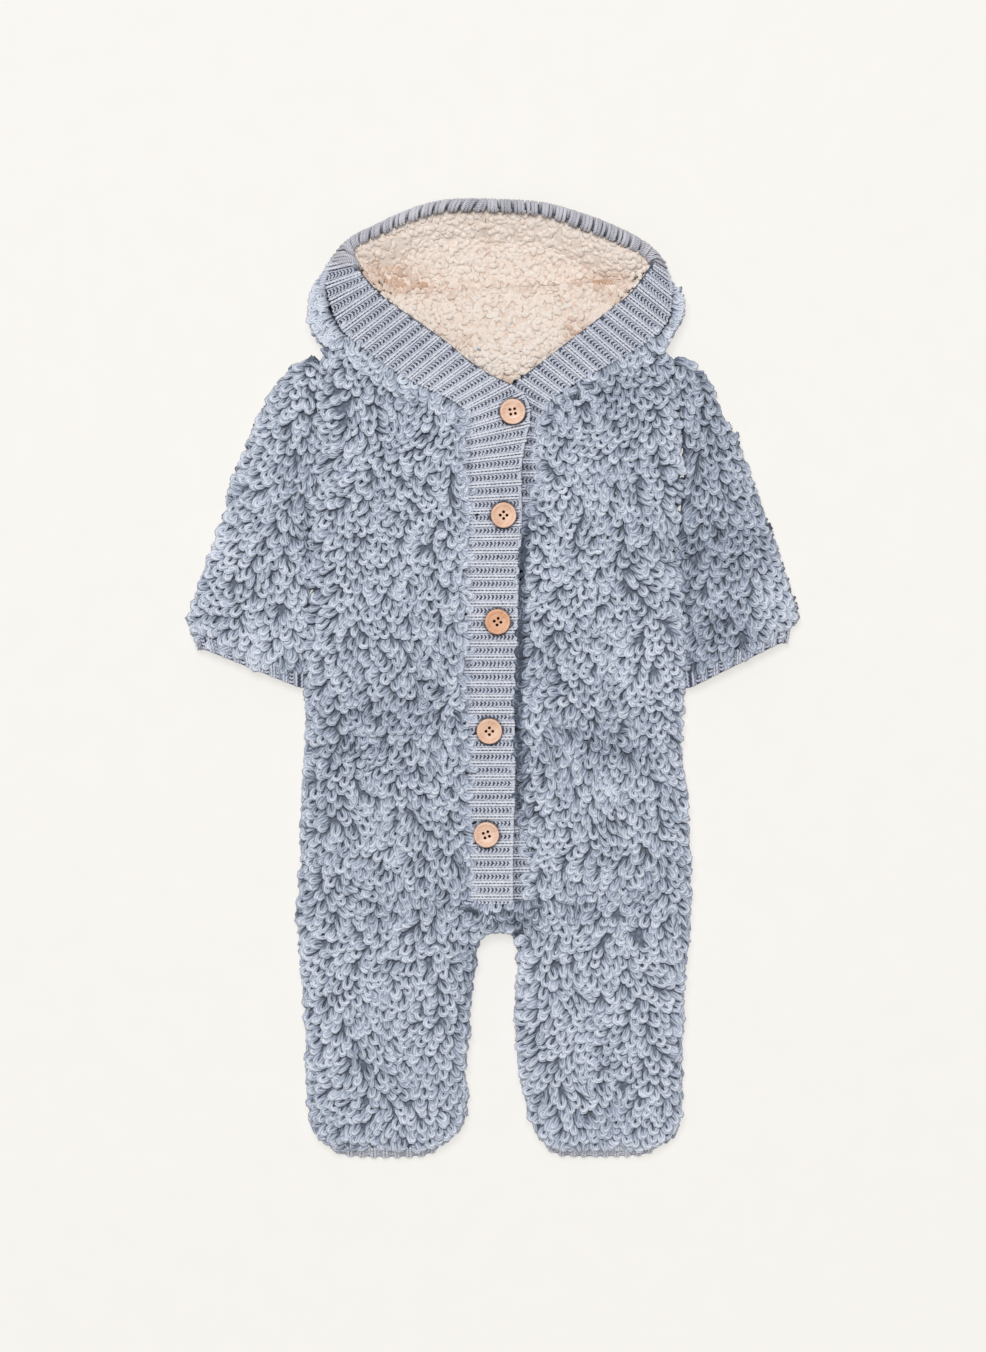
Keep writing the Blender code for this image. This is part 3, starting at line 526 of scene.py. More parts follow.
def ground_material(name, deep, light, stitch):
    """The plain knit that the loops stand on."""
    graph = Graph(name, 1.0)
    place, scale = graph.place(), 1 / (stitch * MM * 6.3)
    waves = (
        graph.add("TexWave", {"bands_direction": axis}, Vector=place, Scale=scale) for axis in "XY"
    )
    knit = graph.math("MULTIPLY", *(wave.outputs["Fac"] for wave in waves))
    fibres = graph.math("MULTIPLY", graph.noise(900.0, 3.0), 0.4)
    tone = graph.math("ADD", graph.math("MULTIPLY", knit, 0.6), fibres)
    return graph.finish(graph.ramp(tone, ((0.1, deep), (0.8, light))), knit, 0.0006)


def sherpa_material(name):
    """Cream curled pile. The ramp's tan low end is the colour of the painted shade in its creases.
    """
    graph = Graph(name, 1.0, sheen=0.35, sheen_roughness=0.6)
    curls = graph.noise(520.0, 5.0)
    tone = graph.vary(graph.attribute("tone"), curls, 0.5, 0.25)
    tone = graph.vary(tone, graph.noise(260.0, 4.0, distortion=2.5), 0.5, 0.6)
    tone = graph.vary(tone, graph.noise(22.0, 2.0), 0.5, 0.3)
    stops = ((0.0, (204, 166, 138)), (0.5, (244, 229, 217)), (1.0, (253, 245, 238)))
    height = graph.math("ADD", curls, graph.noise(120.0, 3.0))
    return graph.finish(graph.ramp(tone, stops), height, 0.0004)


WOOD = (  # (place on the ramp, pale wood, orange wood)
    (0.30, (220, 176, 151), (202, 146, 108)), (0.52, (243, 208, 186), (231, 178, 143)),
    (0.72, (255, 229, 212), (251, 208, 179)),
)
# A painted shade ring at the button's rim, for the dark shadow round its edge
BUTTON_RIM_SHADE = (132, 84, 58)
BUTTON_RIM_SHADE_START = 0.95  # as a share of the button's radius


def wood_material(name, warmth, turn):
    """Pale wood with fine grain, darkened towards the rim by a painted shade ring. warmth goes from
    0, pale, to 1, orange.
    """
    graph = Graph(name, 0.42)
    where = graph.place()
    placed = graph.add("Mapping", Vector=where, Rotation=(0.3, 0.2, turn), Scale=(1.0, 9.0, 3.0))
    grain = graph.noise(130.0, 5.0, placed.outputs["Vector"])
    clouds = graph.math("MULTIPLY", graph.noise(75.0, 2.0, where), 0.38)
    tone = graph.math("ADD", graph.math("MULTIPLY", grain, 0.62), clouds)
    wood = graph.ramp(tone, [
        (place, tuple(p + warmth * (w - p) for p, w in zip(pale, warm)))
        for place, pale, warm in WOOD
    ])
    flat = graph.add("VectorMath", {"operation": "MULTIPLY"}, i0=where, i1=(1, 1, 0))
    reach = graph.add("VectorMath", {"operation": "LENGTH"}, i0=flat.outputs["Vector"])
    radius = BUTTON_D / 2 * MM
    rim = graph.map_range(reach.outputs["Value"], (BUTTON_RIM_SHADE_START * radius, radius))
    edge = graph.add("Mix", {"data_type": "RGBA"}, i0=rim, i6=wood, i7=srgb(BUTTON_RIM_SHADE))
    return graph.finish(edge.outputs[2], grain, 0.00006)


def plain_material(name, colour, roughness):
    graph = Graph(name, roughness)
    fibres = graph.noise(40.0, 2.0)
    darker = tuple(0.985 * c for c in colour)
    return graph.finish(graph.ramp(fibres, ((0.3, darker), (0.7, colour))))


LOOP_YARN = yarn_material(
    "loop_yarn", (78, 87, 104), (174, 184, 202), (234, 240, 252), 0.07, 1100.0, 0.3, 0.0004
)
RIB_YARN = yarn_material(
    "rib_yarn", (84, 90, 104), (214, 219, 236), (246, 249, 255), 0.3, 1400.0, 0.6, 0.0002
)
ARC_YARN = yarn_material(
    "arc_yarn", (86, 89, 97), (215, 214, 224), (247, 247, 250), 0.3, 1400.0, 0.6, 0.0003
)
# The knit under the loops and the backing under the rib stitches are coloured far darker than their
# yarn: painted shade, where they lie under the pile and the stitches
SHADED_LOOP_GROUND = ground_material("loop_ground_painted_shade", (98, 106, 122), (138, 146, 162), 2.4)
SHADED_RIB_GROUND = ground_material("rib_ground_painted_shade", (72, 80, 98), (118, 126, 144), 2.0)
SHERPA = sherpa_material("sherpa_pile")
# The thread in the buttons' holes is near black: thread, painted dark as the shade deep in the
# holes
THREAD_SHADE = plain_material("button_thread_shade", (20, 11, 8), 0.9)
# The buttonholes' slits are dark as painted shade inside them
SLIT_SHADE = plain_material("buttonhole", (46, 50, 60), 0.9)


# ---- ground knit


def applied(piece):
    """The piece with its modifiers made part of its mesh."""
    graph = bpy.context.evaluated_depsgraph_get()
    mesh = bpy.data.meshes.new_from_object(piece.evaluated_get(graph))
    piece.modifiers.clear()
    piece.data = mesh
    return piece


def cloth_shell(name, node, keep, drop, inset):
    """A thin cloth inside a solid's skin: the faces kept, lowered by `drop` and drawn in by
    `inset`, which is a number or a function of the normal."""
    edit = cad_mesh(node)
    gone = [face for face in edit.faces if not keep(face.normal, face.calc_center_median() / MM)]
    bmesh.ops.delete(edit, geom=gone, context="FACES")
    for vertex in edit.verts:
        normal = vertex.normal
        aside = inset(normal) if callable(inset) else inset
        vertex.co -= Vector((normal.x * aside, normal.y * aside, normal.z * drop)) * MM
        vertex.co.z = max(vertex.co.z, (FLOOR_GAP + GROUND_WALL) * MM)
    piece = edited_object(name, edit, SHADED_LOOP_GROUND)
    solidify = piece.modifiers.new("Wall", "SOLIDIFY")
    solidify.thickness = GROUND_WALL * MM
    solidify.offset = -1
    return applied(piece)


# ---- loop pile

# Painted shade where creases of the body fold the loops into shadow, and painted light where the
# depth is negative: (x, y, reach across, reach along, depth)
FOLD_SHADE = (
    (-97, -22, 30, 5, 0.24), (-101, -47, 15, 4, 0.26), (-63, -61, 11, 4, 0.2),
    (-75, -36, 55, 26, 0.08), (72, -42, 36, 5, 0.24), (95, -50, 20, 5, 0.18),
    (75, -36, 55, 26, 0.06), (-57, 197, 14, 10, 0.14), (-72, 168, 13, 13, 0.26),
    (-77, 128, 10, 14, 0.16), (-140, 146, 8, 22, 0.2), (-132, 104, 8, 24, 0.3),
    (-124, 68, 7, 22, 0.2), (-165, 114, 14, 10, 0.18), (-143, 6, 9, 9, 0.5), (96, 206, 34, 18, 0.2),
    (76, 196, 10, 26, 0.16), (84, 146, 14, 16, 0.12), (156, 96, 20, 30, 0.2),
    (163, 36, 16, 14, 0.24), (139, 70, 6, 48, 0.32), (138, 14, 10, 10, 0.34),
    (146, 176, 9, 34, 0.16), (20, 70, 4, 30, 0.3), (24, -100, 6, 40, 0.16), (16, -164, 12, 8, 0.6),
    (-13, -150, 7, 26, 0.2), (-36, -154, 14, 8, 0.15), (-77, -158, 14, 8, 0.18),
    (61, -158, 20, 11, 0.28), (103, -149, 10, 12, 0.16), (-22, -198, 6, 20, 0.34),
    (-27, -240, 5, 20, 0.16), (-31, -280, 5, 20, 0.12), (82, -302, 16, 10, 0.24),
    (-59, -274, 14, 10, 0.16), (-56, -226, 12, 10, 0.14), (75, -120, 16, 8, 0.14),
    (80, -12, 12, 26, 0.16), (-161, 188, 8, 24, -0.16), (-184, 106, 7, 20, -0.16),
    (172, 170, 6, 34, -0.2), (196, 66, 12, 16, -0.1), (204, 32, 10, 9, -0.24),
    (-200, 26, 13, 10, -0.14), (130, -26, 6, 24, -0.24), (26, 172, 12, 16, -0.12),
)
# How deep the painted shadow in the narrow gap along the upper band's free edge is
EDGE_GAP_SHADOW = table("y depth", [
    (-157, 0), (-150, 0.35), (-100, 0.35), (-60, 0.65), (90, 0.8), (110, 0.35), (195, 0.3),
    (203, 0),
])
# Rows of loops that hide the seams: (distance outwards, height over the edge), and (y, z)
COLLAR_ROWS = ((-2.4, 4.2), (1.4, 4.9), (5.0, 4.4))
PLACKET_ROWS = ((0, 4.2), (3.6, 4.5))
PLACKET_END_ROWS = ((-156.0, 21.6), (-160.0, 21.0), (-164.5, 20.0), (-169.0, 18.5))
LEG_TOP_Y = -165


def strip_line(strip, which):
    return np.column_stack([strip[f"{which}_{axis}"] for axis in "xyz"])


def free_edge(y):
    """x of the upper band's free edge, below the hood."""
    below = STRIP_RIGHT["free_y"] < 208
    return np.interp(y, STRIP_RIGHT["free_y"][below][::-1], STRIP_RIGHT["free_x"][below][::-1])


def gap_shadow(points):
    """The painted shadow in the gap along the upper band's free edge, deepest beside the hidden
    ribs.
    """
    apart = points[..., 0] - free_edge(points[..., 1])
    most = np.interp(points[..., 1], EDGE_GAP_SHADOW["y"], EDGE_GAP_SHADOW["depth"])
    return most * (apart > -2) * (1 - smoothstep(3.5, 7.5, apart))


def pull_back(tips, tree, margin):
    """How far each loop moves so that its tip stays `margin` inside the outline of a solid, as it
    is seen from above."""
    moves = np.zeros_like(tips)
    for index, (x, y, z) in enumerate(tips):
        if top_hit(tree, x, y)[0] is not None:
            continue
        nearest = tree.find_nearest(Vector((x, y, z)))[0]
        way = Vector((nearest.x - x, nearest.y - y, 0))
        if way.length < 0.05:
            continue
        way.normalize()
        for reach in np.arange(0.6, MOST_PULL, 0.6):
            if top_hit(tree, x + reach * way.x, y + reach * way.y)[0] is not None:
                moves[index, :2] = way.x * (reach + margin), way.y * (reach + margin)
                break
    return moves


def loop_pile(
    name, points, normals, lean, upright, seed, inside, margin, length=10.0, width=1.0, yarn=YARN_R,
    twist=0.0, light=0.0,
):
    """Loops of yarn whose tips reach a solid's skin at `points`, `margin` within the outline of the
    tree `inside`. lean is the way each one falls, and upright, 0 to 1, how far it stands up."""
    draw = np.random.default_rng(seed)
    count = len(points)
    normals = unit(normals)
    lean = unit(lean + draw.normal(0, 0.34, (count, 3)))
    lean = unit(lean - np.sum(lean * normals, axis=1, keepdims=True) * normals)
    rise_start = np.radians(ROOT_SLOPE + STANDING_SLOPE * upright + draw.normal(0, 7, count))
    rise_end = np.radians(TIP_SLOPE + STANDING_SLOPE * upright + draw.normal(0, 10, count))
    long = length * draw.uniform(0.86, 1.16, count)
    wide = 2.15 * yarn * width * draw.uniform(0.75, 1.2, count)
    turn = np.radians(draw.normal(0, 19, count)) + twist

    share = LOOP_ALONG[None, :]
    bend = (rise_end - rise_start)[:, None]
    angle = rise_start[:, None] + bend * share
    bend = np.where(np.abs(bend) < 0.02, 0.02, bend)
    forward = long[:, None] * (np.sin(angle) - np.sin(rise_start)[:, None]) / bend
    height = long[:, None] * (np.cos(rise_start)[:, None] - np.cos(angle)) / bend
    tangent = lean[:, None] * np.cos(angle)[..., None] + normals[:, None] * np.sin(angle)[..., None]
    flat_side = np.cross(lean, normals)[:, None]
    upper = np.cross(flat_side, tangent)
    across = np.cos(turn)[:, None, None] * flat_side + np.sin(turn)[:, None, None] * upper
    facing = unit(np.cross(across, tangent))

    depth = height.max(axis=1) + 0.6 * yarn
    roots = points - normals * depth[:, None]
    middle = len(LOOP_ALONG) // 2
    tips = roots + lean * forward[:, middle, None] + normals * height[:, middle, None]
    roots = roots + pull_back(tips, inside, margin)
    paths = (
        roots[:, None] + lean[:, None] * forward[..., None] + normals[:, None] * height[..., None]
        + across * (LOOP_ACROSS[None, :] * wide[:, None])[..., None]
    )
    radii = np.tile(yarn * draw.uniform(0.9, 1.1, count)[:, None], (1, len(LOOP_ALONG)))
    radii = radii * (0.86 + 0.14 * share)
    # Painted light and shade: each loop darkens towards its root, where the other loops shade it,
    # and lightens towards its tip as a painted highlight. The painted shade of the body's creases
    # and of the gap beside the band is taken off too.
    tone = 0.6 + light + draw.normal(0, 0.07, count)[:, None] + 0.24 * share**4
    tone = tone - 0.34 * (1 - share) ** 1.6 - painted_shade_at(roots, FOLD_SHADE)[:, None] - gap_shadow(paths)
    return tubes(name, paths, radii, facing, LOOP_SIDES, LOOP_YARN, tone, flatten=0.7)


def away_from_lines(points, lines, reach):
    """The direction from the nearest of the lines' points to each point, fading over `reach`."""
    line = np.concatenate(lines)[:, :2]
    apart = points[:, None, :2] - line[None]
    distance = np.linalg.norm(apart, axis=2)
    nearest = distance.argmin(axis=1)
    index = np.arange(len(points))
    push = np.exp(-((distance[index, nearest] / reach) ** 2))
    return unit(apart[index, nearest]) * push[:, None]


def edge_push(points, tree, reach):
    """Outwards to the sides, close to a piece's left or right edge: (n,) from -1 to 1."""
    push = np.zeros(len(points))
    for index, (x, y, _) in enumerate(points):
        for way in (-1, 1):
            hit = tree.ray_cast(Vector((x, y, 6.0)), Vector((way, 0, 0)), 4 * reach)[0]
            if hit is not None:
                push[index] += way * math.exp(-((abs(hit.x - x) / reach) ** 2))
    return push


hood_lines = [
    strip_line(strip, "sewn")[strip["sewn_y"] > 176] for strip in (STRIP_RIGHT, STRIP_LEFT)
]
back_tree = cad_tree("back_panel")


def body_lean(points, normals):
    """The way the loops of the fronts fall: down, outwards at the sides, away from the hood's
    border."""
    x, y = points[:, 0], points[:, 1]
    lean = np.zeros((len(points), 3))
    lean[:, 1] = -1
    lean[:, 0] = 1.5 * edge_push(points, back_tree, 17) + 0.6 * wander(points, 11, 45)
    lean[:, 0] += 0.3 * wander(points, 12, 22)
    near_placket = np.exp(-(((np.abs(x - 1) - 20) / 9) ** 2)) * (y > LEG_TOP_Y)
    lean[:, 0] -= np.sign(x) * 0.55 * near_placket
    lean[:, :2] += 1.6 * away_from_lines(points, hood_lines, 20)
    lean[:, 1] -= 0.8 * smoothstep(-300, -325, y)
    lean[:, 2] = -0.35 * (1 - np.abs(normals[:, 2]))
    return unit(lean)


def sleeve_lean(points, normals, start, down):
    """Down the sleeve, and outwards at its sides."""
    out = np.array([down[1], -down[0]])
    if out[0] * start[0] < 0:
        out = -out
    apart = points[:, :2] - start
    spread = (apart @ out) / (30 + 0.1 * (apart @ down))
    lean = np.zeros((len(points), 3))
    lean[:, :2] = down + out * (1.6 * np.sign(spread) * np.abs(spread) ** 1.5)[:, None]
    lean[:, 0] += 0.5 * wander(points, 17, 40) + 0.25 * wander(points, 18, 22)
    lean[:, 2] = -0.3 * (1 - np.abs(normals[:, 2]))
    return unit(lean)


def hood_lean(points):
    """Outwards and down from the hood's border."""
    lean = np.zeros((len(points), 3))
    lean[:, :2] = unit(points[:, :2] - np.array([0, 275.0]))
    lean[:, 1] -= 0.25
    lean[:, 2] = -0.15
    return unit(lean)


def upright_at(points):
    """Loops stand up a little more on the chest than on the legs."""
    higher = 0.15 * smoothstep(-30, 90, points[:, 1])
    return np.clip(0.5 + higher + 0.3 * wander(points, 23, 50), 0, 1)


def row_along(line, spacing, seed, lift=0.0):
    """Points along a line, `spacing` apart, with a little scatter."""
    draw = np.random.default_rng(seed)
    along = distances(line)
    places = np.arange(0.5, along[-1] / spacing) * spacing + draw.normal(0, 0.15 * spacing)
    points = rows_at(places, along, line)
    points += draw.normal(0, 0.9, points.shape) * (1, 1, 0.4)
    points[:, 2] += lift
    return points


def edge_rows(side):
    """Loops that hide the seam between a front and its band, and the placket's end:
    (points, leans)."""
    strip, sign = (STRIP_RIGHT, -1) if side == "right" else (STRIP_LEFT, 1)
    sewn = strip_line(strip, "sewn")
    collar = sewn[(sewn[:, 1] < 250) & (sewn[:, 1] > 176) & (np.abs(sewn[:, 0]) > 18)]
    placket = sewn[sewn[:, 1] < 192]
    placket[:, 0] += sign * 3.2
    if side == "left":
        edge = free_edge(placket[:, 1])
        shown = (placket[:, 0] > edge + 4) | (placket[:, 1] > 186)
        placket[:, 0] = np.where(shown, placket[:, 0] - 1.2, edge + 7.2)
        placket[:, 2] = np.where(shown, placket[:, 2] + 2.0, 18.0)
    outward = unit(np.gradient(collar, axis=0))[:, [1, 0, 2]] * (sign, -sign, 0)
    outward *= np.sign(outward[:, :1] * sign + 1e-9)
    outward[:, 1] = -np.abs(outward[:, 1])
    places, leans = [], []
    for number, (reach, lift) in enumerate(COLLAR_ROWS):
        points = row_along(collar + reach * outward, 6.2, 300 + number, lift)
        way = rows_at(points[:, 1], collar[::-1, 1], outward[::-1])
        places.append(points)
        leans.append(unit(way + (0, -0.5, -0.12)))
    for number, (reach, lift) in enumerate(PLACKET_ROWS):
        points = row_along(placket + (sign * reach, 0, 0), 6.4, 310 + number, lift)
        places.append(points)
        leans.append(np.tile(unit(np.array([-1.0 * sign, -0.45, -0.1])), (len(points), 1)))
    low, high = PLACKET_END_X[side]
    for number, (y, z) in enumerate(PLACKET_END_ROWS):
        points = row_along(np.array([(low, y, z), (high, y, z)]), 5.6, 320 + number)
        way = np.tile((0.0, -1.0, -0.15), (len(points), 1))
        places.append(points)
        leans.append(way + (0.5, 0, 0) * np.sin(points[:, 1:2] + points[:, :1]))
    return np.concatenate(places), np.concatenate(leans)


def make_fronts():
    pieces = {}
    grid = course_grid((0, 230), (0, -336), 150, 31)
    outline = cad_tree(
        "front_right", "front_left", "back_panel", "band_right", "band_left", "sleeve_right",
        "sleeve_left",
    )
    for side in ("right", "left"):
        name = "front_" + side
        top = top_points(name, grid)
        points, normals = join_points(top, side_points(name, 41, SIDE_SPACING, top[0]))
        torso = points[:, 1] > LEG_TOP_Y
        made = []
        for part, chosen, seed, light in (("torso", torso, 55, -0.04), ("leg", ~torso, 53, 0.0)):
            place, normal = points[chosen], normals[chosen]
            made.append(loop_pile(
                f"loops_{part}_{side}", place, normal, body_lean(place, normal), upright_at(place),
                seed, outline, 1.2, twist=MOST_TWIST * wander(place, 29, 34), light=light,
            ))
        place, lean = edge_rows(side)
        made.append(loop_pile(
            f"loops_edge_{side}", place, upward(len(place)), lean, np.full(len(place), 0.15), 58,
            outline, 1.0, length=9.0,
        ))
        ground = cloth_shell(
            name + "_ground", name, lambda n, c: n.z > -0.2 and c.z > 12.8, 5.4, 1.6
        )
        pieces[name] = (ground, made)
    return pieces


def make_back():
    points, normals = side_points("back_panel", 61, SIDE_SPACING)
    loops = loop_pile(
        "loops_back_edge", points, normals, body_lean(points, normals), np.full(len(points), 0.4),
        62, back_tree, 1.2,
    )
    return cloth_shell("back_ground", "back_panel", lambda n, c: n.z < 0.5, 0, 4.0), [loops]


def clear_of_cuff(points, ends):
    """Where a loop's tip stays clear of the cuff's edge: the ribs show most at the inner corner."""
    outer, inner = np.array(ends, float)
    width = np.linalg.norm(inner - outer)
    run = (inner - outer) / width
    apart = points[:, :2] - outer
    away = np.abs(apart[:, 0] * run[1] - apart[:, 1] * run[0])
    least = np.interp(apart @ run / width, (0, 0.5, 0.85, 1), (-4.0, -4.0, 2.0, 8.0))
    return away > LOOP_REACH + least


def make_sleeves():
    pieces = {}
    for side, axis in AXIS.items():
        name = "sleeve_" + side
        tree = cad_tree(name)
        start, end = np.array(axis, float)
        down = unit(end - start)
        top = top_points(name, course_grid(start - 30 * down, end + 45 * down, 62, 71))
        points, normals = side_points(name, 73, SIDE_SPACING, top[0])
        beside = normals[:, :2] @ down < 0.55
        points, normals = join_points(top, (points[beside], normals[beside]))
        clear = clear_of_cuff(points, CUFF_ENDS[side][1])
        points, normals = points[clear], normals[clear]
        loops = loop_pile(
            "loops_" + name, points, normals, sleeve_lean(points, normals, start, down),
            np.clip(0.5 + 0.3 * wander(points, 27, 40), 0, 1), 75, cad_tree(name, "cuff_" + side),
            0.2, twist=MOST_TWIST * wander(points, 28, 30), light=-0.07 if side == "left" else 0.0,
        )
        down_3d = Vector((*down, 0))

        def outer(normal, centre):
            if abs(normal.dot(down_3d)) > 0.85:
                return False
            return tree.ray_cast(centre + 0.1 * normal, normal, 4.0)[0] is None

        def inset(normal):
            return 0.5 if normal.x * start[0] < 0 else 2.5

        pieces[name] = (cloth_shell(name + "_ground", name, outer, 5.4, inset), [loops])
    return pieces


def beside_band(strip, seed):
    """Places in rows outwards from the sewn edge of the hood's band, as (x, y)."""
    sewn = strip_line(strip, "sewn")
    chosen = (sewn[:, 1] < 291) & (sewn[:, 1] > 224)
    inward = (strip_line(strip, "free") - sewn)[chosen]
    inward[:, 2] = 0
    rows = [
        row_along(sewn[chosen] - reach * unit(inward), 3.8, seed + number)
        for number, reach in enumerate(np.arange(-1.6, 16, 2.5))
    ]
    points = np.concatenate(rows)
    return points[points[:, 1] > 232, :2]


def make_hood():
    pieces = {}
    for side, strip in (("right", STRIP_RIGHT), ("left", STRIP_LEFT)):
        name = "hood_" + side
        places, normals = top_points(name, beside_band(strip, 86))
        places[:, 2] = np.maximum(places[:, 2], HOOD_PILE_Z)
        normals[places[:, 2] == HOOD_PILE_Z] = (0, 0, 1)
        points, normals = join_points((places, normals), side_points(name, 81, 4.2, places))
        low = points[:, 1] < HOOD_LOOPS_Y
        under = ~low & (points[:, 1] < UNDER_RIM_Y) & (points[:, 2] < UNDER_RIM_Z)
        loops = []
        # These loops are toned lighter: painted light, as they lie in the shadow of the band's edge
        for suffix, chosen, margin in (("", low, 1.4), ("_under_rim", under, 4.0)):
            place = points[chosen]
            loops.append(loop_pile(
                "loops_" + name + suffix, place, normals[chosen], hood_lean(place),
                np.full(len(place), 0.3), 83, cad_tree(name), margin, length=8.0, width=1.1,
                yarn=1.5, light=0.19,
            ))

        def outer(normal, centre):
            outward = Vector((centre.x, centre.y - 262, 0)).normalized()
            return normal.z < -0.3 or normal.dot(outward) > 0.25

        pieces[name] = (cloth_shell(name + "_ground", name, outer, 3.0, 6.0), loops)
    return pieces


# ---- rib knit


def smooth(points, steps):
    """A Catmull-Rom curve through the rows of points, with `steps` points to a span."""
    points = np.asarray(points, float)
    padded = np.vstack([2 * points[0] - points[1], points, 2 * points[-1] - points[-2]])
    t = (np.arange(steps) / steps)[None, :, None]
    a, b, c, d = (padded[k:len(padded) - 3 + k, None] for k in range(4))
    curve = 0.5 * (
        2 * b + (c - a) * t + (2 * a - 5 * b + 4 * c - d) * t**2 + (3 * b - a - 3 * c + d) * t**3
    )
    return np.vstack([curve.reshape(-1, points.shape[1]), points[-1:]])


class Strip:
    """A strip of rib knit between two edges. side is 1 where the outer face is on the left of its
    run."""

    def __init__(self, free, sewn, side):
        self.free, self.sewn = free, sewn
        middle = (free + sewn) / 2
        self.along = distances(middle)
        self.length = self.along[-1]
        self.widths = np.linalg.norm(free - sewn, axis=1)
        self.out = unit(side * np.cross(unit(np.gradient(middle, axis=0)), free - sewn))

    def width(self, along):
        return np.interp(along, self.along, self.widths)

    def facing(self, along):
        return unit(rows_at(along, self.along, self.out))

    def at(self, along, share, height):
        """Points at a distance along the strip, a share of the way to its free edge, and a
        height."""
        sewn, free = (rows_at(along, self.along, edge) for edge in (self.sewn, self.free))
        return sewn + share[..., None] * (free - sewn) + height[..., None] * self.facing(along)


def smooth_strip(strip, side):
    return Strip(*(smooth(strip_line(strip, edge), 12) for edge in ("free", "sewn")), side)


BAND_RIGHT, BAND_LEFT = smooth_strip(STRIP_RIGHT, 1), smooth_strip(STRIP_LEFT, -1)


def strip_shell(name, strip, thick, swell=None):
    """The strip's backing: a thin closed cloth under the stitches."""
    along = np.linspace(0, strip.length, int(strip.length / 2.5) + 2)
    section = np.array([
        (0.02, 0.4), (0.0, thick / 2), (0.03, thick), (0.2, thick), (0.4, thick), (0.6, thick),
        (0.8, thick), (0.97, thick), (1.0, thick / 2), (0.98, 0.4), (0.75, 0.2), (0.5, 0.2),
        (0.25, 0.2),
    ])
    grid = np.repeat(along[:, None], len(section), axis=1)
    share = np.tile(section[:, 0], (len(along), 1))
    height = np.tile(section[:, 1], (len(along), 1))
    if swell is not None:
        height = height + swell(grid) * (height > thick / 2 + 0.1) * (share > 0.1)
    return closed_shell(name, strip.at(grid, share, height), SHADED_RIB_GROUND, 0.3)


def stitch_set(
    strip, centre, aside, lead, base, crown, radius, stitch, shift, light, seed, shown
):
    """One column of stitches along a rib: (paths, radii, tone). Each stitch runs from -aside to
    +aside of the column's centre and `lead` along the rib."""
    draw = np.random.default_rng(seed)
    parts = []
    for place in centre:
        count = int(strip.width(place) / stitch)
        begin = (np.arange(count) + shift) * stitch
        middle = begin + 0.5 * lead
        if shown is not None:
            point = strip.at(np.full(count, place), middle / strip.width(place), np.zeros(count))
            begin = begin[shown(point)]
        if len(begin):
            parts.append(np.column_stack([np.full(len(begin), place), begin]))
    spots = np.concatenate(parts)
    step = np.array([0, 0.33, 0.67, 1.0])
    along = spots[:, :1] + aside * (2 * step - 1)[None]
    across = spots[:, 1:] + lead * step[None] + draw.normal(0, 0.12, (len(spots), 1))
    arch = np.sin(np.pi * step)[None] * (crown - base)
    height = base + arch + draw.normal(0, 0.1, (len(spots), 1))
    share = across / strip.width(along)
    paths = strip.at(along, np.clip(share, 0.0, 1.01), height)
    facing = strip.facing(along)
    radii = radius * np.array([[0.6, 1.0, 1.0, 0.6]]) * draw.uniform(0.92, 1.08, (len(spots), 1))
    tone = light + draw.normal(0, 0.06, (len(spots), 1)) + np.zeros((1, 4))
    return paths, radii, facing, tone


# A rib of the arc over the hood, from the strip's middle to its inside: the share of the way to the
# free edge, the height, how much it is on the outside, how plump, and how far a wedge has sunk
ARC_RIB = table("share height outward plump wedge", [
    (0.12, 0.2, 1, 0.5, 0), (0.35, 0.7, 1, 0.85, 0), (0.6, 1.0, 1, 1.0, 0), (0.82, 1.1, 1, 1.05, 0),
    (0.96, 0.8, 0.9, 1.05, 0.3), (1.06, -0.9, 0.5, 1.0, 0.8), (1.05, -3.0, 0.2, 1.0, 1),
    (0.98, -4.4, 0.05, 0.9, 1), (0.88, -5.0, 0, 0.6, 1),
])
ARC_STRANDS = ((-2.5, 1.3, 0), (0, 1.4, 0), (2.5, 1.3, 0), (5.0, 1.2, 1))  # aside, radius, sunk
# A painted highlight on the arc's ribs, centred this far along and fading over this reach
ARC_GLEAM_AT, ARC_GLEAM_REACH = 52, 26


def arc_ribs(name, strip, reach, swell, slant, gleam, seed):
    """Rounded ribs over the free edge of a strip that stands on edge, from its middle to `reach`.
    Each is three plump strands. A fourth sinks towards the inside, which leaves a wedge that is
    toned darker as painted shade, as is the ribs' inner side. gleam is a painted highlight's
    strength."""
    draw = np.random.default_rng(seed)
    share, height, outward, plump, wedge = ARC_RIB.values()
    places, radii, sunk = [], [], []
    for rib in np.arange(0.5, reach / RIB_PITCH) * RIB_PITCH:
        for aside, radius, drop in ARC_STRANDS:
            places.append(rib + aside + draw.normal(0, 0.2))
            radii.append(radius * draw.uniform(0.93, 1.07) * plump)
            sunk.append(drop * wedge)
    places, sunk = np.array(places)[:, None], np.array(sunk)
    scatter = draw.normal(0, 0.1, (len(places), len(share)))
    grid = np.clip(places - slant * outward + scatter, 0, None)
    tall = height + BAND_THICK + swell(places) * outward
    tall = tall + 0.9 * sunk * (outward < 0.6) - 0.8 * sunk * (outward >= 0.6)
    paths = strip.at(grid, share - 0.09 * sunk, tall)
    tone = 0.44 + draw.normal(0, 0.06, (len(places), 1)) - 0.34 * sunk - 0.06 * (1 - outward)
    tone = tone + gleam * np.exp(-(((places - ARC_GLEAM_AT) / ARC_GLEAM_REACH) ** 2))
    facing = unit(strip.facing(grid) * (2 * outward - 1)[:, None] + (0, 0, 1.0))
    return tubes(name, paths, np.array(radii), facing, 7, ARC_YARN, tone)


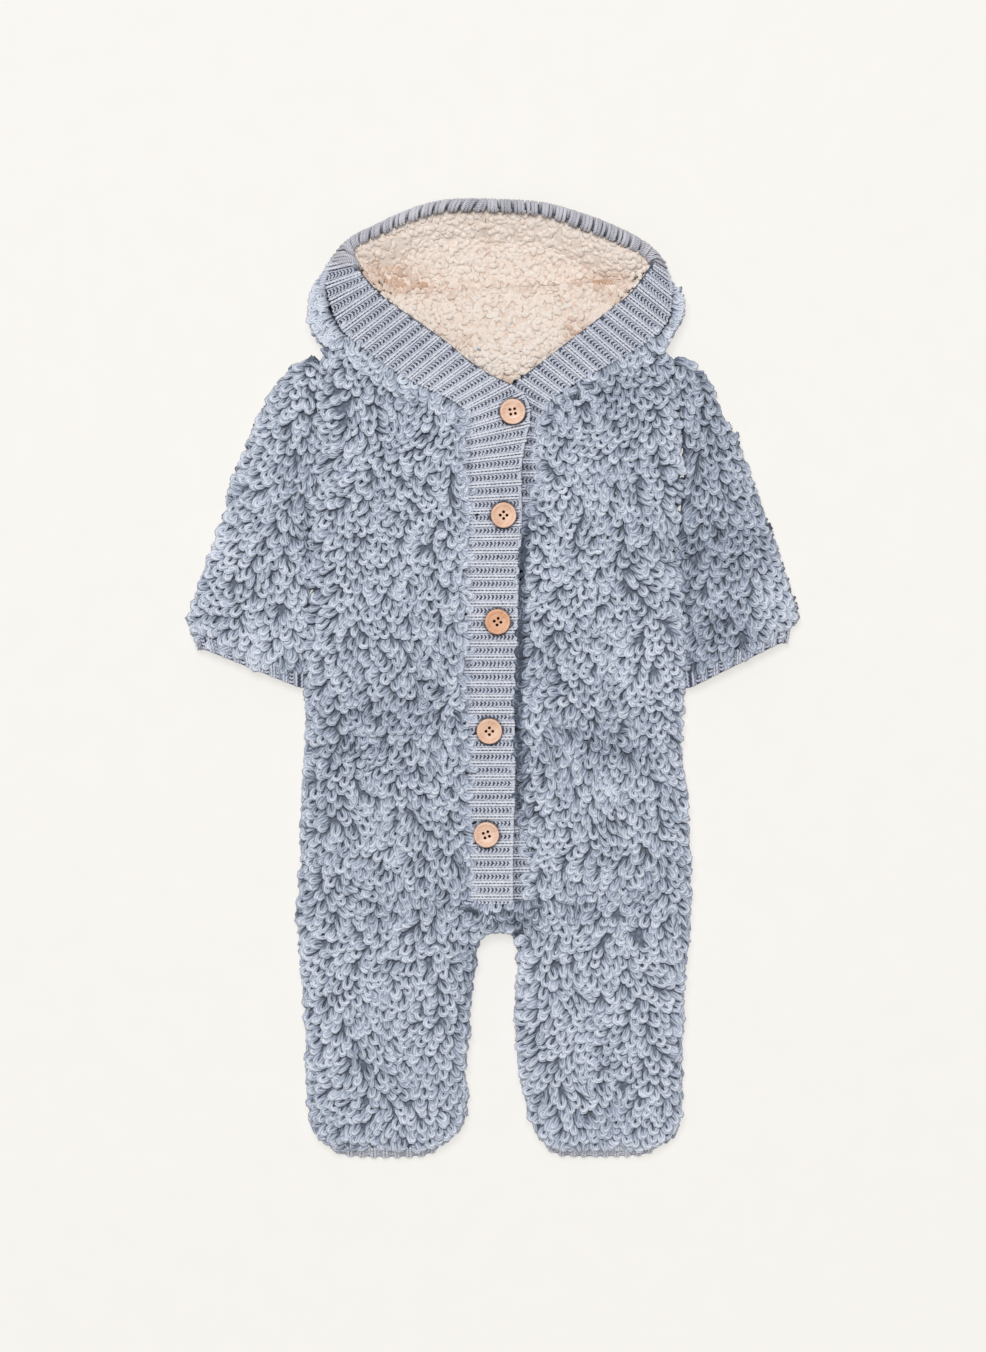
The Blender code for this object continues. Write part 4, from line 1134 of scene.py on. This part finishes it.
def edge_cord(name, strip, chosen, radius, seed):
    """The smooth selvedge along a strip's free edge, over the part that is chosen."""
    draw = np.random.default_rng(seed)
    along = np.arange(0, strip.length, 1.6)
    share, height = np.full(len(along), 0.965), np.full(len(along), BAND_THICK - 0.3)
    path = strip.at(along, share, height + 0.12 * np.sin(along * 2 * np.pi / STITCH))
    keep = chosen(path)
    path, facing = path[keep][None], strip.facing(along[keep])[None]
    radii = radius * (1 + 0.12 * np.sin(along[keep] * 2 * np.pi / STITCH))[None]
    tone = 0.5 + draw.normal(0, 0.05, radii.shape)
    return tubes(name, path, radii, facing, 9, RIB_YARN, tone)


RIM_RIGHT = (
    (-86, 314, 6), (-91, 311, 9), (-97.5, 305.5, 12), (-106, 296.5, 16), (-112, 288.4, 18.5),
    (-117, 280, 19.5), (-119, 272, 19), (-118, 264, 17),
)
RIM_LEFT = (
    (100, 306, 8), (105.5, 301, 12), (111.8, 293, 16), (118, 285, 18.5), (123.2, 276.5, 20),
    (125, 268, 19.5),
)


def rim_roll(name, places, radius, seed):
    """The smooth rolled rim of the band where it turns from the arc to the hood's side."""
    draw = np.random.default_rng(seed)
    path = smooth(np.array(places, float), 8)
    swell = np.sin(np.linspace(0.25, np.pi - 0.25, len(path))) ** 0.4
    radii = radius * swell * draw.uniform(0.97, 1.03, len(path))
    tone = 0.4 + draw.normal(0, 0.03, (1, len(path)))
    return tubes(name, path[None], radii[None], upward(len(path))[None], 10, RIB_YARN, tone)


BUTTONHOLES = (
    (3.2, 189.5, 21.9), (-10.9, 113.9, 21.9), (-13, -39.4, 21.9), (-13, -101, 21.9),
    (-12.3, -115, 21.9),
)


def slits(name):
    """The ends of the buttonholes, as short slits in the upper band, coloured dark as painted shade
    inside them.
    """
    step = np.array([-2.0, 0, 2.0])[None, :, None] * np.array([0.92, 0.39, 0])
    paths = np.array(BUTTONHOLES)[:, None] + step
    radii = np.tile([0.5, 1.0, 0.6], (len(paths), 1))
    facing = np.tile(upward(3), (len(paths), 1, 1))
    return tubes(name, paths, radii, facing, 6, SLIT_SHADE, np.zeros(radii.shape))


def long_strands(strip, places, height, radius, light, seed, shown):
    """Strands across a strip's whole width at the distances given, cut into stitches' lengths."""
    draw = np.random.default_rng(seed)
    pieces = 12
    share = np.linspace(0.02, 0.99, pieces * 3 + 1)
    begin = np.arange(pieces) * 3
    share = share[begin[:, None] + np.arange(4)[None]]
    along = np.repeat(places, pieces)[:, None] + draw.normal(0, 0.12, (len(places) * pieces, 4))
    share = np.tile(share, (len(places), 1))
    if shown is not None:
        keep = shown(strip.at(along[:, 0], share[:, 0], np.zeros(len(along))))
        along, share = along[keep], share[keep]
    height = height + draw.normal(0, 0.08, (len(along), 1)) + np.zeros((1, 4))
    radii = radius * np.array([[0.8, 1.0, 1.0, 0.8]]) * draw.uniform(0.92, 1.08, (len(along), 1))
    tone = light + draw.normal(0, 0.05, (len(along), 1)) + np.zeros((1, 4))
    return strip.at(along, share, height), radii, strip.facing(along), tone


def rib_stitches(name, strip, pitch, base, seed, shown=None, stitch=STITCH, light=0.0, even=0.0):
    """Raised ribs of V stitches with a strand along each side, and a low zigzag between them. The
    raised stitches are toned lighter than the low ones, as painted light on the ridges and painted
    shade between them; even brings the two tones together."""
    count = round(strip.length / pitch)
    pitch = strip.length / count
    ribs = (np.arange(count) + 0.5) * pitch
    sets = []
    for number, way in enumerate((-1, 1)):
        sets.append(stitch_set(
            strip, ribs + way * 0.115 * pitch, way * -0.035 * pitch, 1.4 * stitch, base + 1.5,
            base + 1.9, 1.1 * RIB_YARN_R, stitch, 0.1, 0.88 + light - even, seed + number, shown,
        ))
        sets.append(long_strands(
            strip, ribs + way * 0.275 * pitch, base + 0.7, 0.8 * RIB_YARN_R, 0.62 + light,
            seed + 3 + number, shown,
        ))
    for number, (place, shift, way) in enumerate(((0.41, 0.0, 1), (0.59, 0.5, -1))):
        sets.append(stitch_set(
            strip, ribs + place * pitch, 0.09 * pitch, way * 0.6 * stitch, base - 0.3, base + 0.9,
            0.86 * RIB_YARN_R, stitch, 0.2 + shift, 0.66 + light + even, seed + 7 + number, shown,
        ))
    paths, radii, facing, tone = (np.concatenate(part) for part in zip(*sets))
    return tubes(name, paths, radii, facing, 4, RIB_YARN, tone - button_shade(paths))


UPPER_BAND_Z = 18.4  # stitches over this are the upper band's


def button_shade(paths):
    """Painted shade on the stitches: close round the buttons, along the upper band's sewn edge, and
    on the lower band along the upper one's edge. The hood's stitches are also made a little darker."""
    x, y, z = paths[..., 0], paths[..., 1], paths[..., 2]
    shade = np.zeros(x.shape)
    for number in range(1, 6):
        low, high = box_mm(f"button_{number}")
        away = np.hypot(x - (low[0] + high[0]) / 2, y - (low[1] + high[1]) / 2)
        shade += 0.6 * (1 - smoothstep(BUTTON_D / 2 + 0.6, BUTTON_D / 2 + 2.2, away))
    edge = free_edge(y)
    hood = 0.11 * smoothstep(205, 225, y)
    sewn = 0.3 * ((z >= UPPER_BAND_Z) & (y < 185)) * (1 - smoothstep(-17, -12, x))
    lower = (z < UPPER_BAND_Z) & (y < 203) & (x > edge - 4)
    return shade + hood + sewn + 0.34 * lower * (1 - smoothstep(3, 12, x - edge))


def shown_right(points):
    """The arc over the hood has its own ribs."""
    return points[:, 1] < ARC_END_Y


def shown_left(points):
    """Where the lower band isn't covered by the upper one."""
    x, y = points[:, 0], points[:, 1]
    hidden = (y < HIDDEN_RIBS[0]) & (y > HIDDEN_RIBS[1])
    covered = (y < 186) & (x < free_edge(y) - 6)
    return ~hidden & ~covered & (y < ARC_END_Y)


def swell_right(along):
    return np.interp(along, (0, 60, 115, 130), (1.6, 1.2, 0.6, 0))


def swell_left(along):
    """The roll at the top of the hood is thicker towards the wearer's left."""
    return np.interp(along, (0, 45, 75, 100, 127, 140), (1.6, 2.0, 3.4, 2.8, 1.0, 0))


def make_bands():
    stitches = (RIB_PITCH, BAND_THICK - 0.3)
    return {
        "band_right": (
            strip_shell("band_right_cloth", BAND_RIGHT, 2.4, swell_right),
            [
                rib_stitches("band_right_stitches", BAND_RIGHT, *stitches, 91, shown_right),
                arc_ribs("band_right_arc", BAND_RIGHT, 121.0, swell_right, 4.5, 0.2, 95),
                edge_cord("band_right_selvedge", BAND_RIGHT, lambda p: p[:, 1] < 203, 1.3, 96),
                rim_roll("band_right_rim", RIM_RIGHT, 3.3, 99),
                slits("buttonholes"),
            ],
        ),
        "band_left": (
            strip_shell("band_left_cloth", BAND_LEFT, 2.4, swell_left),
            [
                rib_stitches("band_left_stitches", BAND_LEFT, *stitches, 93, shown_left),
                arc_ribs("band_left_arc", BAND_LEFT, 127.0, swell_left, 0.8, 0.0, 97),
                rim_roll("band_left_rim", RIM_LEFT, 1.7, 98),
            ],
        ),
    }


# ---- sherpa lining

LIP_WIDTH = 14.0
# The pile rises from the crown to the arc: its width, its height at the arc, and its fall inwards
BRIM_WIDTH = 26.0
BRIM_TOP = 31.5
BRIM_SLOPE = 0.42
BRIM_CURVE = 0.015
BRIM_END_DROP, BRIM_END_REACH = 5.0, 24  # the height is less close to the arc's end
PILE_SEED = 1795580410  # the clumps' noise would otherwise differ from run to run
# Painted shade in the creases and hollows of the lining
CREASE_SHADE = (  # (x, y, reach across, reach along the body, depth)
    (-49, 271.5, 5, 5, 0.36), (-66, 276, 20, 10, 0.3), (-74, 285, 26, 15, 0.32),
    (-28, 270, 16, 4, 0.26), (16, 272, 22, 4, 0.22), (67, 275, 14, 4, 0.42), (84, 278, 16, 8, 0.32),
    (84, 264, 7, 9, 0.2), (57, 242, 9, 8, 0.5), (-24, 234, 12, 8, 0.2), (-3.5, 305, 2.2, 26, 0.26),
    (8, 208, 6, 4, 0.6), (-4, 283, 66, 16, 0.07),
)


def sherpa_piece(name, node):
    """A lining's solid with its top made into clumps of pile."""
    noise.seed_set(PILE_SEED)
    edit = cad_mesh(node)
    low = min(v.co.z for v in edit.verts)
    for _ in range(3):
        edges = {
            e for f in edit.faces if f.normal.z > -0.5 and f.calc_center_median().z > low + 0.3 * MM
            for e in f.edges if e.calc_length() > 1.7 * MM
        }
        bmesh.ops.subdivide_edges(edit, edges=list(edges), cuts=1, use_grid_fill=True)
        bmesh.ops.triangulate(edit, faces=[f for f in edit.faces if len(f.verts) > 4])
        edit.normal_update()
    piece = edited_object(name, edit, SHERPA)
    mesh = piece.data
    points = np.array([v.co for v in mesh.vertices]) / MM
    normals = np.array([v.normal for v in mesh.vertices])
    height = np.zeros(len(points))
    for index, point in enumerate(points):
        if point[2] < low / MM + 0.6:
            continue
        warped = Vector(point) / CLUMP + 0.55 * noise.noise_vector(Vector(point) / 7.0)
        near, _ = noise.voronoi(warped)
        fine, _ = noise.voronoi(Vector(point) / 2.4)
        clump = 1.7 * min(1.0, 1.6 * (near[1] - near[0])) ** 0.5
        height[index] = clump + 0.7 * (fine[1] - fine[0]) - 1.8
    points += normals * height[:, None]
    mesh.vertices.foreach_set("co", (points * MM).astype(np.float32).ravel())
    # Painted shade: the pile is toned darker where it lies low between the clumps, lighter on their
    # tops
    tone = mesh.attributes.new("tone", "FLOAT", "POINT")
    tone.data.foreach_set("value", np.clip(0.55 + 0.16 * height, 0, 1).astype(np.float32))
    mesh.update()
    return piece


def lining_points(node, spacing, seed):
    """Scattered places over the top of a lining: (points, normals)."""
    draw = np.random.default_rng(seed)
    low, high = box_mm(node)
    columns, rows = (int((high[k] - low[k]) / spacing) for k in (0, 1))
    return top_points(node, [
        (low[0] + (c + draw.uniform(0, 1)) * spacing, low[1] + (r + draw.uniform(0, 1)) * spacing)
        for r in range(rows) for c in range(columns)
    ])


def brim_at(strip, reach, along, inward):
    """The pile's surface at distances along the arc and inwards from it: (points, normals)."""
    out = strip.facing(along)
    out[:, 2] = 0
    out = unit(out)
    inner = strip.at(along, np.full(len(along), 0.9), np.full(len(along), -0.6))
    points = inner - out * inward[:, None]
    top = BRIM_TOP - BRIM_END_DROP * smoothstep(reach - BRIM_END_REACH, reach, along)
    points[:, 2] = top - BRIM_SLOPE * inward - BRIM_CURVE * inward**2
    slope = BRIM_SLOPE + 2 * BRIM_CURVE * inward
    normals = unit(np.column_stack([-slope[:, None] * out[:, :2], np.ones(len(along))]))
    return points, normals


def brim_points(strip, reach, spacing, seed):
    """Places on the pile that rises from the crown to the inner face of the arc:
    (points, normals)."""
    draw = np.random.default_rng(seed)
    crown = cad_tree("hood_lining_crown")
    count = int(reach * BRIM_WIDTH / spacing**2)
    along = draw.uniform(0, reach, count)
    points, normals = brim_at(strip, reach, along, BRIM_WIDTH * draw.uniform(0, 1, count))
    hits = [top_hit(crown, x, y)[0] for x, y, _ in points]
    above = np.array([hit is None or point[2] > hit.z - 1.0 for hit, point in zip(hits, points)])
    return points[above], normals[above]


def brim_cloth(name, strip, reach):
    """The cloth under the pile of the brim: a thin slope, closed."""
    along = np.linspace(0, reach, int(reach / 4))
    across = np.linspace(0, BRIM_WIDTH, 5)
    rings = []
    for inward, drop in [(d, 0.8) for d in across] + [(d, 2.3) for d in across[::-1]]:
        points, _ = brim_at(strip, reach, along, np.full(len(along), inward))
        rings.append(points - (0, 0, drop))
    return closed_shell(name, np.stack(rings, axis=1), SHERPA, 0.5)


def lip_points(strip, spacing, seed):
    """Places close inside the band's free edge, below the ends of the arc: (points, normals)."""
    draw = np.random.default_rng(seed)
    free, sewn = strip_line(strip, "free"), strip_line(strip, "sewn")
    chosen = (free[:, 1] < 304) & (free[:, 1] > 240)
    line, way = free[chosen], (free - sewn)[chosen]
    way[:, 2] = 0
    steps = distances(line)
    count = int(steps[-1] * LIP_WIDTH / spacing**2)
    along = draw.uniform(0, steps[-1], count)
    inward = draw.uniform(-1, LIP_WIDTH, count)
    base, out = rows_at(along, steps, line), rows_at(along, steps, unit(way))
    points = base + out * inward[:, None]
    points[:, 2] = base[:, 2] - 3.0 - 0.75 * inward - 0.02 * inward**2
    return points, unit(np.column_stack([0.8 * out[:, :2], np.ones(count)]))


def foot_points(spacing, seed):
    """Places in the point of the V, below the nape's solid: (points, normals)."""
    draw = np.random.default_rng(seed)
    points = []
    for y in np.arange(206.5, 224, 0.8 * spacing):
        low = np.interp(y, (206, 212, 223, 236), (10, -3, -19, -35))
        high = np.interp(y, (200, 209, 218, 229.5), (8, 18.5, 31, 46))
        for x in np.arange(low + 0.5, high, 0.8 * spacing):
            points.append((x, y, 14.4 + 0.2 * (y - 206)))
    points = np.array(points) + draw.normal(0, 0.7, (len(points), 3)) * (1, 1, 0.4)
    return points, upward(len(points))


def curls(name, points, normals, seed, light):
    """Curled tufts at the places given."""
    draw = np.random.default_rng(seed)
    count = len(points)
    heading = draw.uniform(0, 2 * np.pi, count)
    normals = unit(normals)
    first = unit(np.cross(normals, np.array([0, 1.0, 0.2])))
    second = np.cross(normals, first)
    step = np.linspace(0, 1, 6)[None]
    sweep = draw.uniform(1.4, 3.8, count)[:, None] * draw.choice([-1, 1], count)[:, None]
    radius = draw.uniform(1.5, 3.1, count)[:, None]
    angle = heading[:, None] + sweep * step
    u, v = radius * np.cos(angle), radius * np.sin(angle)
    lift = 0.6 * np.sin(np.pi * step) - 1.2 + draw.normal(0, 0.2, count)[:, None]
    paths = (
        points[:, None] + first[:, None] * u[..., None] + second[:, None] * v[..., None]
        + normals[:, None] * lift[..., None]
    )
    plump = np.array([[0.5, 0.95, 1.1, 1.1, 0.95, 0.5]])
    radii = CURL_R * plump * draw.uniform(0.8, 1.3, (count, 1))
    facing = np.repeat(normals[:, None], 6, axis=1)
    tone = light[:, None] + draw.normal(0, 0.06, (count, 1)) + np.zeros((1, 6))
    return tubes(name, paths, radii, facing, 6, SHERPA, tone, flatten=0.65)


def lining_curls(name, sets, seed, light):
    """Tufts with painted shade in the creases and hollows of the lining."""
    points, normals = join_points(*sets)
    return curls(name, points, normals, seed, light - painted_shade_at(points, CREASE_SHADE))


def make_linings():
    brims = [
        brim_cloth("lining_brim_right", BAND_RIGHT, 122),
        brim_cloth("lining_brim_left", BAND_LEFT, 135),
    ]
    crown = sherpa_piece("lining_crown", "hood_lining_crown")
    # The crown's tufts are toned lighter than the nape's: painted light against the shade that the
    # arc casts on them
    crown_curls = lining_curls("lining_crown_curls", (
        lining_points("hood_lining_crown", 3.6, 101), brim_points(BAND_RIGHT, 119, 3.5, 103),
        brim_points(BAND_LEFT, 132, 3.5, 104), lip_points(STRIP_RIGHT, 2.9, 108),
        lip_points(STRIP_LEFT, 2.9, 109),
    ), 106, 0.65)
    nape = sherpa_piece("lining_nape", "hood_lining_nape")
    nape_curls = lining_curls("lining_nape_curls", (
        lining_points("hood_lining_nape", 3.6, 102), foot_points(3.6, 105),
    ), 107, 0.61)
    return {
        "hood_lining_crown": (crown, [crown_curls, *brims]),
        "hood_lining_nape": (nape, [nape_curls]),
    }


# ---- cuffs and soles

# How far a cuff's cloth stays inside its outer and its inner end, for the stitches
CUFF_STAND = (6.0, 0.6)


def ring_strip(side):
    """A cuff as a strip round the flattened sleeve end, from the loops to its edge."""
    low, high = box_mm("cuff_" + side)
    middle = (low[2] + high[2]) / 2
    half = (high[2] - low[2]) / 2 - 3.2
    lines = []
    for ends in CUFF_ENDS[side]:
        outer, inner = np.array(ends, float)
        width = np.linalg.norm(inner - outer)
        across = (inner - outer) / width
        outer, width = outer + CUFF_STAND[0] * across, width - sum(CUFF_STAND)
        flat = np.linspace(half, width - half, 26)
        turn = np.linspace(np.pi / 2, -np.pi / 2, 9)
        top = [(d, half) for d in flat]
        near = [(width - half + half * math.cos(a), half * math.sin(a)) for a in turn[1:-1]]
        under = [(d, -half) for d in flat[::-1]]
        far = [(half - half * math.cos(a), half * math.sin(a)) for a in turn[::-1][1:-1]]
        ring = top + near + under + far + top[:1]
        lines.append(np.array([(*(outer + d * across), middle + z) for d, z in ring]))
    sewn, free = lines
    return Strip(free, sewn, -1 if side == "right" else 1)


def sole_strip(side):
    """The sole's edge that shows along the toe."""
    tree = cad_tree("sole_" + side)
    low, high = box_mm("sole_" + side)
    free, sewn = [], []
    for x in np.linspace(low[0] + 1.5, high[0] - 1.5, 24):
        hit = tree.ray_cast(Vector((x, low[1] - 20, 9)), Vector((0, 1, 0)))[0]
        edge = hit.y if hit is not None else high[1] - 1
        free.append((x, edge + 1.2, 3.0))
        sewn.append((x, edge + 11.0, 18.0))
    return Strip(np.array(free), np.array(sewn), -1)


def make_ribs(part, strip_of, thick, pitch, base, seed, light, even):
    """Both cuffs or both soles: their cloth and their stitches."""
    pieces = {}
    for side in ("right", "left"):
        name = part + side
        strip = strip_of(side)
        cloth = strip_shell(name + "_cloth", strip, thick)
        stitches = rib_stitches(
            name + "_stitches", strip, pitch, base, seed, stitch=2.6, light=light, even=even
        )
        pieces[name] = (cloth, [stitches])
    return pieces


# ---- buttons

BUTTON_SIDES = 56
BUTTON_TURNS = (10, 45, 35, 45, 20)
BUTTON_WARMTH = (0.15, 0.3, 0.95, 0.25, 0.1)
# (share of the radius, height over the underside), from the flat middle of the top outwards
BUTTON_PROFILE = (
    (0.30, 2.35), (0.52, 2.45), (0.66, 2.75), (0.74, 3.2), (0.80, 3.5), (0.87, 3.6),
    (0.94, 3.5), (0.985, 3.15), (1.0, 2.6), (1.0, 1.1), (0.97, 0.5), (0.90, 0.15), (0.82, 0.05),
)


def button_mesh(name, material):
    """A turned four-hole button with a rounded rim."""
    cos, sin = circle(BUTTON_SIDES)
    radius = BUTTON_D / 2
    rings = [
        np.column_stack([s * radius * cos, s * radius * sin, np.full(BUTTON_SIDES, z)])
        for s, z in BUTTON_PROFILE
    ]
    button = mesh_object(name, np.vstack(rings), tube_faces(len(rings), BUTTON_SIDES), material)
    reach = HOLE_SPACING / math.sqrt(2)
    turns = [math.radians(45 + 90 * k) for k in range(4)]
    holes = [(reach * math.cos(turn), reach * math.sin(turn)) for turn in turns]
    cutter = rods(name + "_cutter", holes, HOLE_D / 2, -1, BUTTON_THICK + 1, 20, material)
    boolean = button.modifiers.new("Holes", "BOOLEAN")
    boolean.object = cutter
    boolean.solver = "EXACT"
    bevel = button.modifiers.new("Rims", "BEVEL")
    bevel.width = 0.18 * MM
    bevel.segments = 2
    bevel.limit_method = "ANGLE"
    bevel.angle_limit = math.radians(50)
    applied(button)
    bpy.data.objects.remove(cutter)
    return button, holes


def rods(name, centres, radius, low, high, sides, material):
    """Upright round rods as one mesh."""
    cos, sin = circle(sides)
    verts = [
        np.column_stack([x + radius * cos, y + radius * sin, np.full(sides, z)])
        for x, y in centres for z in (low, high)
    ]
    first = (np.arange(len(centres)) * 2 * sides)[:, None, None]
    quads, caps = tube_faces(2, sides, turned=True)
    polygons = [(first + quads).reshape(-1, 4), (first + caps).reshape(-1, sides)]
    return mesh_object(name, np.vstack(verts), polygons, material)


def make_buttons():
    for number, (turn, warmth) in enumerate(zip(BUTTON_TURNS, BUTTON_WARMTH), 1):
        node = f"button_{number}"
        low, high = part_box(node)
        wood = wood_material(f"button_wood_{number}", warmth, number * 1.3)
        button, holes = button_mesh(f"wood_button_{number}", wood)
        # Thread in the holes, near black as painted shade for the holes' depth
        thread = rods(f"button_thread_shade_{number}", holes, 0.46 * HOLE_D, -0.6, 1.0, 12, THREAD_SHADE)
        for piece in (button, thread):
            piece.location = ((low.x + high.x) / 2, (low.y + high.y) / 2, low.z)
            piece.rotation_euler.z = math.radians(turn)
            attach(piece, "root")
        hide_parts(node)


# ---- attaching the cloth and hiding its solids


def declare(pieces):
    for node, (cloth, others) in pieces.items():
        for piece in [cloth, *others]:
            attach(piece, "root")
        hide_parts(node)


# ---- table, light and camera


FLOOR_HALF = 4000
FLOOR_COLOUR = (150, 149, 146)
FLOOR_GLOW = 0.687  # the paper is lit from behind, so shadows on it stay faint


def make_stage():
    corners = [(x * FLOOR_HALF, y * FLOOR_HALF, 0) for x, y in ((-1, -1), (1, -1), (1, 1), (-1, 1))]
    material = plain_material("floor_paper", FLOOR_COLOUR, 0.9)
    floor = mesh_object("floor", np.array(corners, float), [np.array([[0, 1, 2, 3]])], material)
    paper = material.node_tree.nodes["Principled BSDF"]
    paper.inputs["Emission Color"].default_value = srgb((250, 247, 242))
    paper.inputs["Emission Strength"].default_value = FLOOR_GLOW


def make_light():
    bpy.context.scene.view_settings.view_transform = "Standard"
    world = bpy.data.worlds.new("soft_studio")
    bpy.context.scene.world = world
    world.use_nodes = True
    background = world.node_tree.nodes["Background"]
    background.inputs["Color"].default_value = (1.0, 0.995, 0.985, 1)
    background.inputs["Strength"].default_value = 0.32
    lamp = linked("key", bpy.data.lights.new("key", "AREA"))
    lamp.data.shape = "DISK"
    lamp.data.size = 1.6
    lamp.data.energy = 121.0
    lamp.location = (-0.3, 0.95, 4.15)
    lamp.rotation_euler = (-lamp.location).to_track_quat("-Z", "Y").to_euler()


def make_camera():
    camera = linked("camera", bpy.data.cameras.new("camera"))
    camera.data.lens = LENS_MM
    camera.data.sensor_width = SENSOR_MM
    height = PICTURE_H * MM_PER_PIXEL * LENS_MM / SENSOR_MM + SCALE_PLANE_Z
    camera.location = (0, CENTRE_Y * MM, height * MM)
    bpy.context.scene.camera = camera


make_camera()
make_light()
make_stage()
declare({
    **make_fronts(), "back_panel": make_back(), **make_sleeves(), **make_hood(), **make_linings(),
    **make_bands(), **make_ribs("cuff_", ring_strip, 1.8, 9.0, 2.0, 111, -0.24, 0.12),
    **make_ribs("sole_", sole_strip, 1.6, 8.0, 1.1, 121, 0.1, 0.16),
})
make_buttons()
